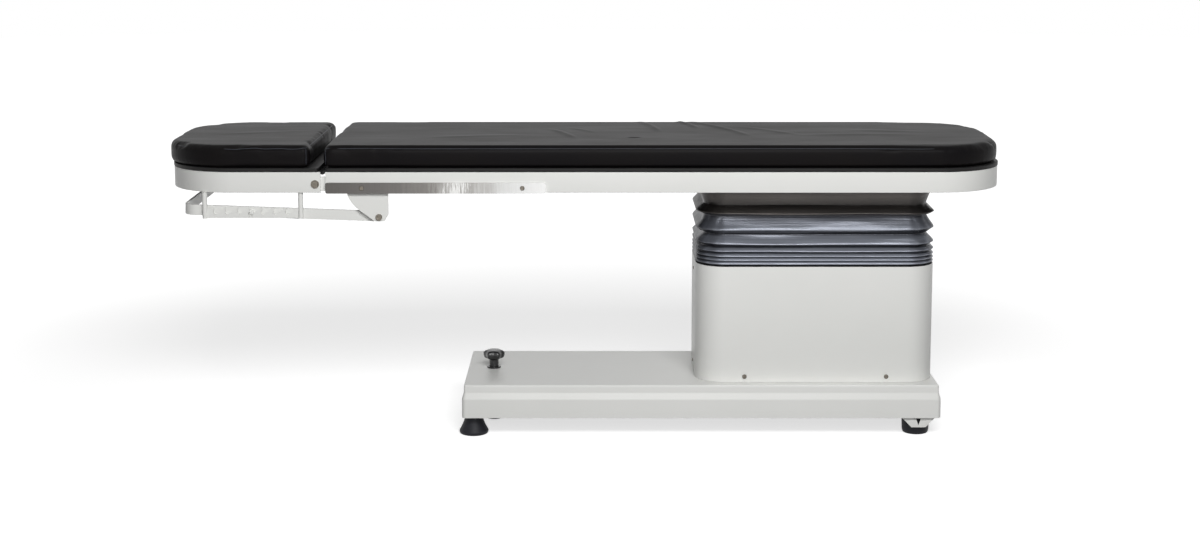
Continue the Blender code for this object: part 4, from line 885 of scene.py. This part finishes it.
# three rows of cuff above the first valley run up inside the frame
cuff_z, cuff_inset = np.array([0.6090, 0.5990, 0.5860]), np.array([0.0040, 0.0078, 0.0126])
no_fold = np.zeros(len(cuff_z))
row_z = np.concatenate([cuff_z, fold_z])
row_inset = np.concatenate([cuff_inset, fold_inset])
row_phase = np.concatenate([no_fold, phase])[:, None]
row_open = np.concatenate([no_fold, open_share])[:, None]
tipness = np.concatenate([no_fold, 1 - zigzag])[:, None]
plate_middle = np.concatenate([no_fold, np.sin(np.pi * zigzag)])[:, None]
plate = np.floor(row_phase - 1e-9)

# the pleats' cloth: long and short dents across the plates, puckers at the corners, tips that sag
long_dent, short_dent, pucker_depth, pucker_wave = 0.0024, 0.0014, 0.0045, 62
tip_sag, tip_wave, pucker_rise = 0.0018, 0.0009, 0.0032
cloth_thickness, arc_steps, side_steps, plan_step = 0.0007, 26, 44, 0.001
unit = plan_rings(*cover_plan, [0.0, plan_step], arc_steps, side_steps)
outward_way = (unit[0] - unit[1]) / plan_step
sleeve = standing_on(plan_rings(*cover_plan, row_inset, arc_steps, side_steps), row_z)
centre_x, half_x = (column_low.x + column_high.x) / 2, (column_high.x - column_low.x) / 2
along_x = (sleeve[..., 0] - centre_x) / half_x
along_y = sleeve[..., 1] / column_high.y
near_end = np.clip((np.abs(along_x) - 0.76) / 0.24, 0, 1)
near_side = np.clip((np.abs(along_y) - 0.55) / 0.45, 0, 1)
corner = np.sqrt(near_end * near_side)
diagonal = np.abs(along_x) * half_x - np.abs(along_y) * column_high.y
pucker = 1 - 2 * np.abs(np.sin(pucker_wave * diagonal + 1.7 * plate)) ** 0.7
dent = long_dent * plate_middle * np.sin(2.9 * along_x + 2.4 * plate + 0.8 * along_y)
dent += short_dent * plate_middle * np.sin(7.7 * along_x - 1.9 * plate)
dent += pucker_depth * corner * pucker * (0.30 + 0.70 * plate_middle)
dent = row_open * np.maximum(dent, -0.0035 * (1 - tipness) - 0.0006)
tip_phase = 5.1 * along_x + 1.7 * row_phase + 2.0 * along_y
sleeve[..., :2] -= dent[..., None] * outward_way
sleeve[..., 2] -= tip_sag * row_open * tipness * (1 - along_x**2)
sleeve[..., 2] += tip_wave * row_open * tipness * np.sin(tip_phase)
sleeve[..., 2] += pucker_rise * row_open * corner * plate_middle * pucker
lining = sleeve[::-1].copy()
lining[..., :2] -= cloth_thickness * outward_way
cloth_mesh = skin("bellows_sleeve", np.concatenate([sleeve, lining]), closed=True)

# painted light and shade: a painted sheen on the up-facing plates and tips; painted shade under them, in
# the corners, on the end faces and, as the table top's painted shadow, on the upper pleats
plate_at = [0, 0.18, 0.80, 0.97, 1.03, 1.14, 2]
plate_light = np.interp(phase % 2, plate_at, [0.05, 0.55, 0.82, 1.0, 0.60, 0.09, 0.05])
# painted shadow of the table top: the sheen is weaker up the sleeve
height_at = [0, 1, 2, 3, 5, 7, 14]
height_light = np.interp(phase, height_at, [0.30, 0.26, 0.52, 0.64, 0.85, 1.25, 1.35])
packing = np.interp(phase, [0, 6, 9, 14], [1.0, 1.0, 0.55, 0.45])
# the cuff rows get painted shade under the table top
row_light = np.concatenate([[0.02, 0.24, 0.34], plate_light**packing * height_light])
# brown painted shade of the table top on the cuff and the first pleat
row_shade = np.concatenate([[1.0, 1.0, 1.0], np.interp(phase, [1.2, 2.2], [1.0, 0.0])])
# painted shade on the end faces, deeper at the head end, and in the puckered corners
end_face_shade = np.clip((np.abs(along_x) - 0.90) / 0.09, 0, 1) * np.where(along_x < 0, 0.85, 0.40)
corner_light = 1 - corner * (0.45 + 0.40 * (0.5 - 0.5 * pucker))
shine = row_light[:, None] * corner_light * (1 - end_face_shade)
dust = np.broadcast_to(row_shade[:, None], shine.shape)
for attribute, values in (("shine", shine), ("dust", dust)):
    layer = cloth_mesh.attributes.new(attribute, "FLOAT", "POINT")
    both_layers = np.concatenate([values, values[::-1]])
    layer.data.foreach_set("value", both_layers.ravel().astype(np.float32))
cloth_mesh.materials.append(bellows_cloth)
cloth_mesh.shade_smooth()
bellows = placed("bellows_sleeve", cloth_mesh)
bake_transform(bellows)
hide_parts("bellows")
pleat_length = np.hypot(np.diff(row_z), np.diff(row_inset)).sum()
girth = 2 * (2 * half_x + 2 * column_high.y) - (8 - 2 * math.pi) * cover_corner
0.96 * girth * pleat_length


# Feet. Two flared rubber feet at the head end, two round rubber pucks behind white sheet brackets
# under the column, and the floor jack's rubber pad; all are moulded with a rounded rim.
def moulded_rubber(start):
    """Matt black rubber: faint bloom and a fine sandblasted mould texture."""
    bloom = grain(start, 40, 4.0)
    return {
        "Base Color": mixed(start, bloom, (0.006, 0.0063, 0.009), (0.016, 0.017, 0.022)),
        "Roughness": 0.42 + 0.25 * bloom,
        "Specular IOR Level": 0.22,
        "Normal": raised(start, grain(start, 700, 3.0), 0.0003, 0.5),
    }


def turned(name, line, x, y, steps=64):
    """A profile of (radius, height) carried round an upright axis at (x, y)."""
    around = np.linspace(0, 2 * np.pi, steps, endpoint=False)[None, :]
    radius = line[:, :1]
    z = np.broadcast_to(line[:, 1:], (len(line), steps))
    rows = np.stack([x + radius * np.cos(around), y + radius * np.sin(around), z], -1)
    return skin(name, rows, ends=False)


rubber = finish("moulded_rubber", moulded_rubber)


def rubber_piece(name, line, body, node):
    """A turned rubber piece on the upright axis of a node's box, in that node's place."""
    low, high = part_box(node)
    middle_x, middle_y = (low.x + high.x) / 2, (low.y + high.y) / 2
    fit(name, turned(name, line, middle_x, middle_y), rubber, body, [node])


neck_radius, flare_radius, flare_drop = 0.021, 0.0355, 0.0402
fall = np.linspace(0, 1, 14)
flare_reach = neck_radius + (flare_radius - neck_radius) * fall**1.7
flare_rim = [(0.0357, 0.0065), (0.0352, 0.0035), (0.0338, 0.0012), (0.0315, 0.0), (0.0, 0.0)]
for place in ("front", "rear"):
    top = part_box("flared_foot_" + place)[1].z
    flare = np.stack([flare_reach, top - flare_drop * fall], 1)
    flared_line = np.vstack([[(0.0, top)], flare, flare_rim])
    rubber_piece("flared_rubber_" + place, flared_line, "base", "flared_foot_" + place)
    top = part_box("puck_foot_" + place)[1].z
    puck_line = [(0.0, top), (0.034, top), (0.0325, 0.006), (0.0300, 0.0), (0.0, 0.0)]
    puck_line = eased_line(puck_line, [0.002, 0.004, 0.002], 4)
    rubber_piece("puck_rubber_" + place, puck_line, "base", "puck_foot_" + place)
pad_low, pad_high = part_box("jack_pad")
jack_line = [(0.0, pad_high.z), (0.025, pad_high.z), (0.025, pad_low.z), (0.0, pad_low.z)]
rubber_piece("jack_rubber", eased_line(jack_line, [0.003, 0.003], 4), "jack_foot", "jack_pad")


# Floor jack. A glossy black moulded star knob on a threaded spindle; a moulded collar seals the
# spindle's hole in the base. Turning the knob presses the rubber foot to the floor.
def gloss_plastic(start):
    """Glossy black moulded plastic with faint handling marks."""
    marks = grain(start, 120, 4.0)
    return {
        "Base Color": mixed(start, marks, (0.008, 0.008, 0.009), (0.014, 0.014, 0.015)),
        "Roughness": 0.16 + 0.16 * marks,
        "Coat Weight": 0.35 * marks,
        "Coat Roughness": 0.12,
        "Normal": raised(start, grain(start, 500, 2.0), 0.0001, 0.25),
    }


black_plastic = finish("glossy_black_plastic", gloss_plastic)
knob_low, knob_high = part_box("jack_knob")
knob_x = (knob_low.x + knob_high.x) / 2
knob_depth, knob_radius, lobe_depth, lobes = 0.0226, 0.0275, 0.0042, 6
knob_under = knob_high.z - knob_depth
knob_line = eased_line(
    [
        (0.0, knob_high.z - 0.0012),
        (0.0120, knob_high.z - 0.0004),
        (0.0250, knob_high.z - 0.0030),
        (knob_radius, knob_high.z - 0.0110),
        (0.0240, knob_under + 0.0015),
        (0.0150, knob_under),
        (0.0116, knob_under - 0.003),
        (0.0115, knob_low.z),
        (0.0, knob_low.z),
    ],
    [0.004, 0.006, 0.005, 0.003, 0.002, 0.001, 0.0005],
    5,
)
knob_turn = np.linspace(0, 2 * np.pi, 144, endpoint=False)[None, :]
knob_reach = knob_line[:, :1]
lobe_share = np.clip((knob_reach - 0.0125) / 0.012, 0, 1) ** 1.5
lobed = knob_reach - lobe_depth * lobe_share * (0.5 - 0.5 * np.cos(lobes * knob_turn)) ** 0.8
knob_rise = np.broadcast_to(knob_line[:, 1:], lobed.shape)
knob_points = np.stack([knob_x + lobed * np.cos(knob_turn), lobed * np.sin(knob_turn), knob_rise], -1)
fit("star_knob", skin("star_knob", knob_points, ends=False), black_plastic, "jack_screw", ["jack_knob"])
moulded_edge = 0.0005
deburred("jack_collar", black_plastic, moulded_edge)
spindle = frame["nodes"]["jack_spindle"].data
spindle.materials.clear()
spindle.materials.append(zinc)


# Mains inlet. A plain moulded appliance inlet in the column's foot-end face, which the photograph
# doesn't show; its pins are left out.
inlet_edge = 0.0006
deburred("mains_inlet", black_plastic, inlet_edge, 3)


# Inner parts. The lifting tubes, drive, base plate and clamps stay as their solids; each gets its own
# finish, though little of them shows.
def anodised(start):
    """Satin anodised extrusion with lines drawn along it."""
    drawn = grain(start, 60, 4.0, 0.6, (12.0, 12.0, 0.2))
    return {
        "Base Color": mixed(start, drawn, (0.55, 0.56, 0.57), (0.70, 0.71, 0.72)),
        "Metallic": 1.0,
        "Roughness": 0.30 + 0.15 * drawn,
    }


def black_steel(start):
    """Plate with a black baked paint, worn through to a duller tone in patches."""
    worn = grain(start, 30, 5.0)
    return {
        "Base Color": mixed(start, worn, (0.020, 0.020, 0.022), (0.050, 0.050, 0.052)),
        "Roughness": 0.40 + 0.25 * worn,
        "Normal": raised(start, grain(start, 400, 2.0), 0.0003, 0.3),
    }


def grey_moulding(start):
    """Matt grey moulded plastic with a spark-eroded texture."""
    texture = grain(start, 800, 3.0)
    return {
        "Base Color": mixed(start, texture, (0.16, 0.16, 0.165), (0.22, 0.22, 0.225)),
        "Roughness": 0.50 + 0.15 * texture,
        "Normal": raised(start, texture, 0.0002, 0.4),
    }


def sintered_bronze(start):
    """Sintered bronze: oil-darkened pores."""
    pores = grain(start, 1800, 3.0)
    return {
        "Base Color": mixed(start, pores, (0.25, 0.16, 0.07), (0.50, 0.34, 0.16)),
        "Metallic": 1.0,
        "Roughness": 0.35 + 0.2 * pores,
    }


inner_finishes = {
    "aluminium": finish("anodised_aluminium", anodised),
    "dark_steel": finish("black_painted_steel", black_steel),
    "grey_plastic": finish("matt_grey_plastic", grey_moulding),
    "bronze": finish("sintered_bronze", sintered_bronze),
}
for node, solid in frame["nodes"].items():
    if record_slots[node] in inner_finishes:
        for slot in solid.material_slots:
            slot.material = inner_finishes[record_slots[node]]
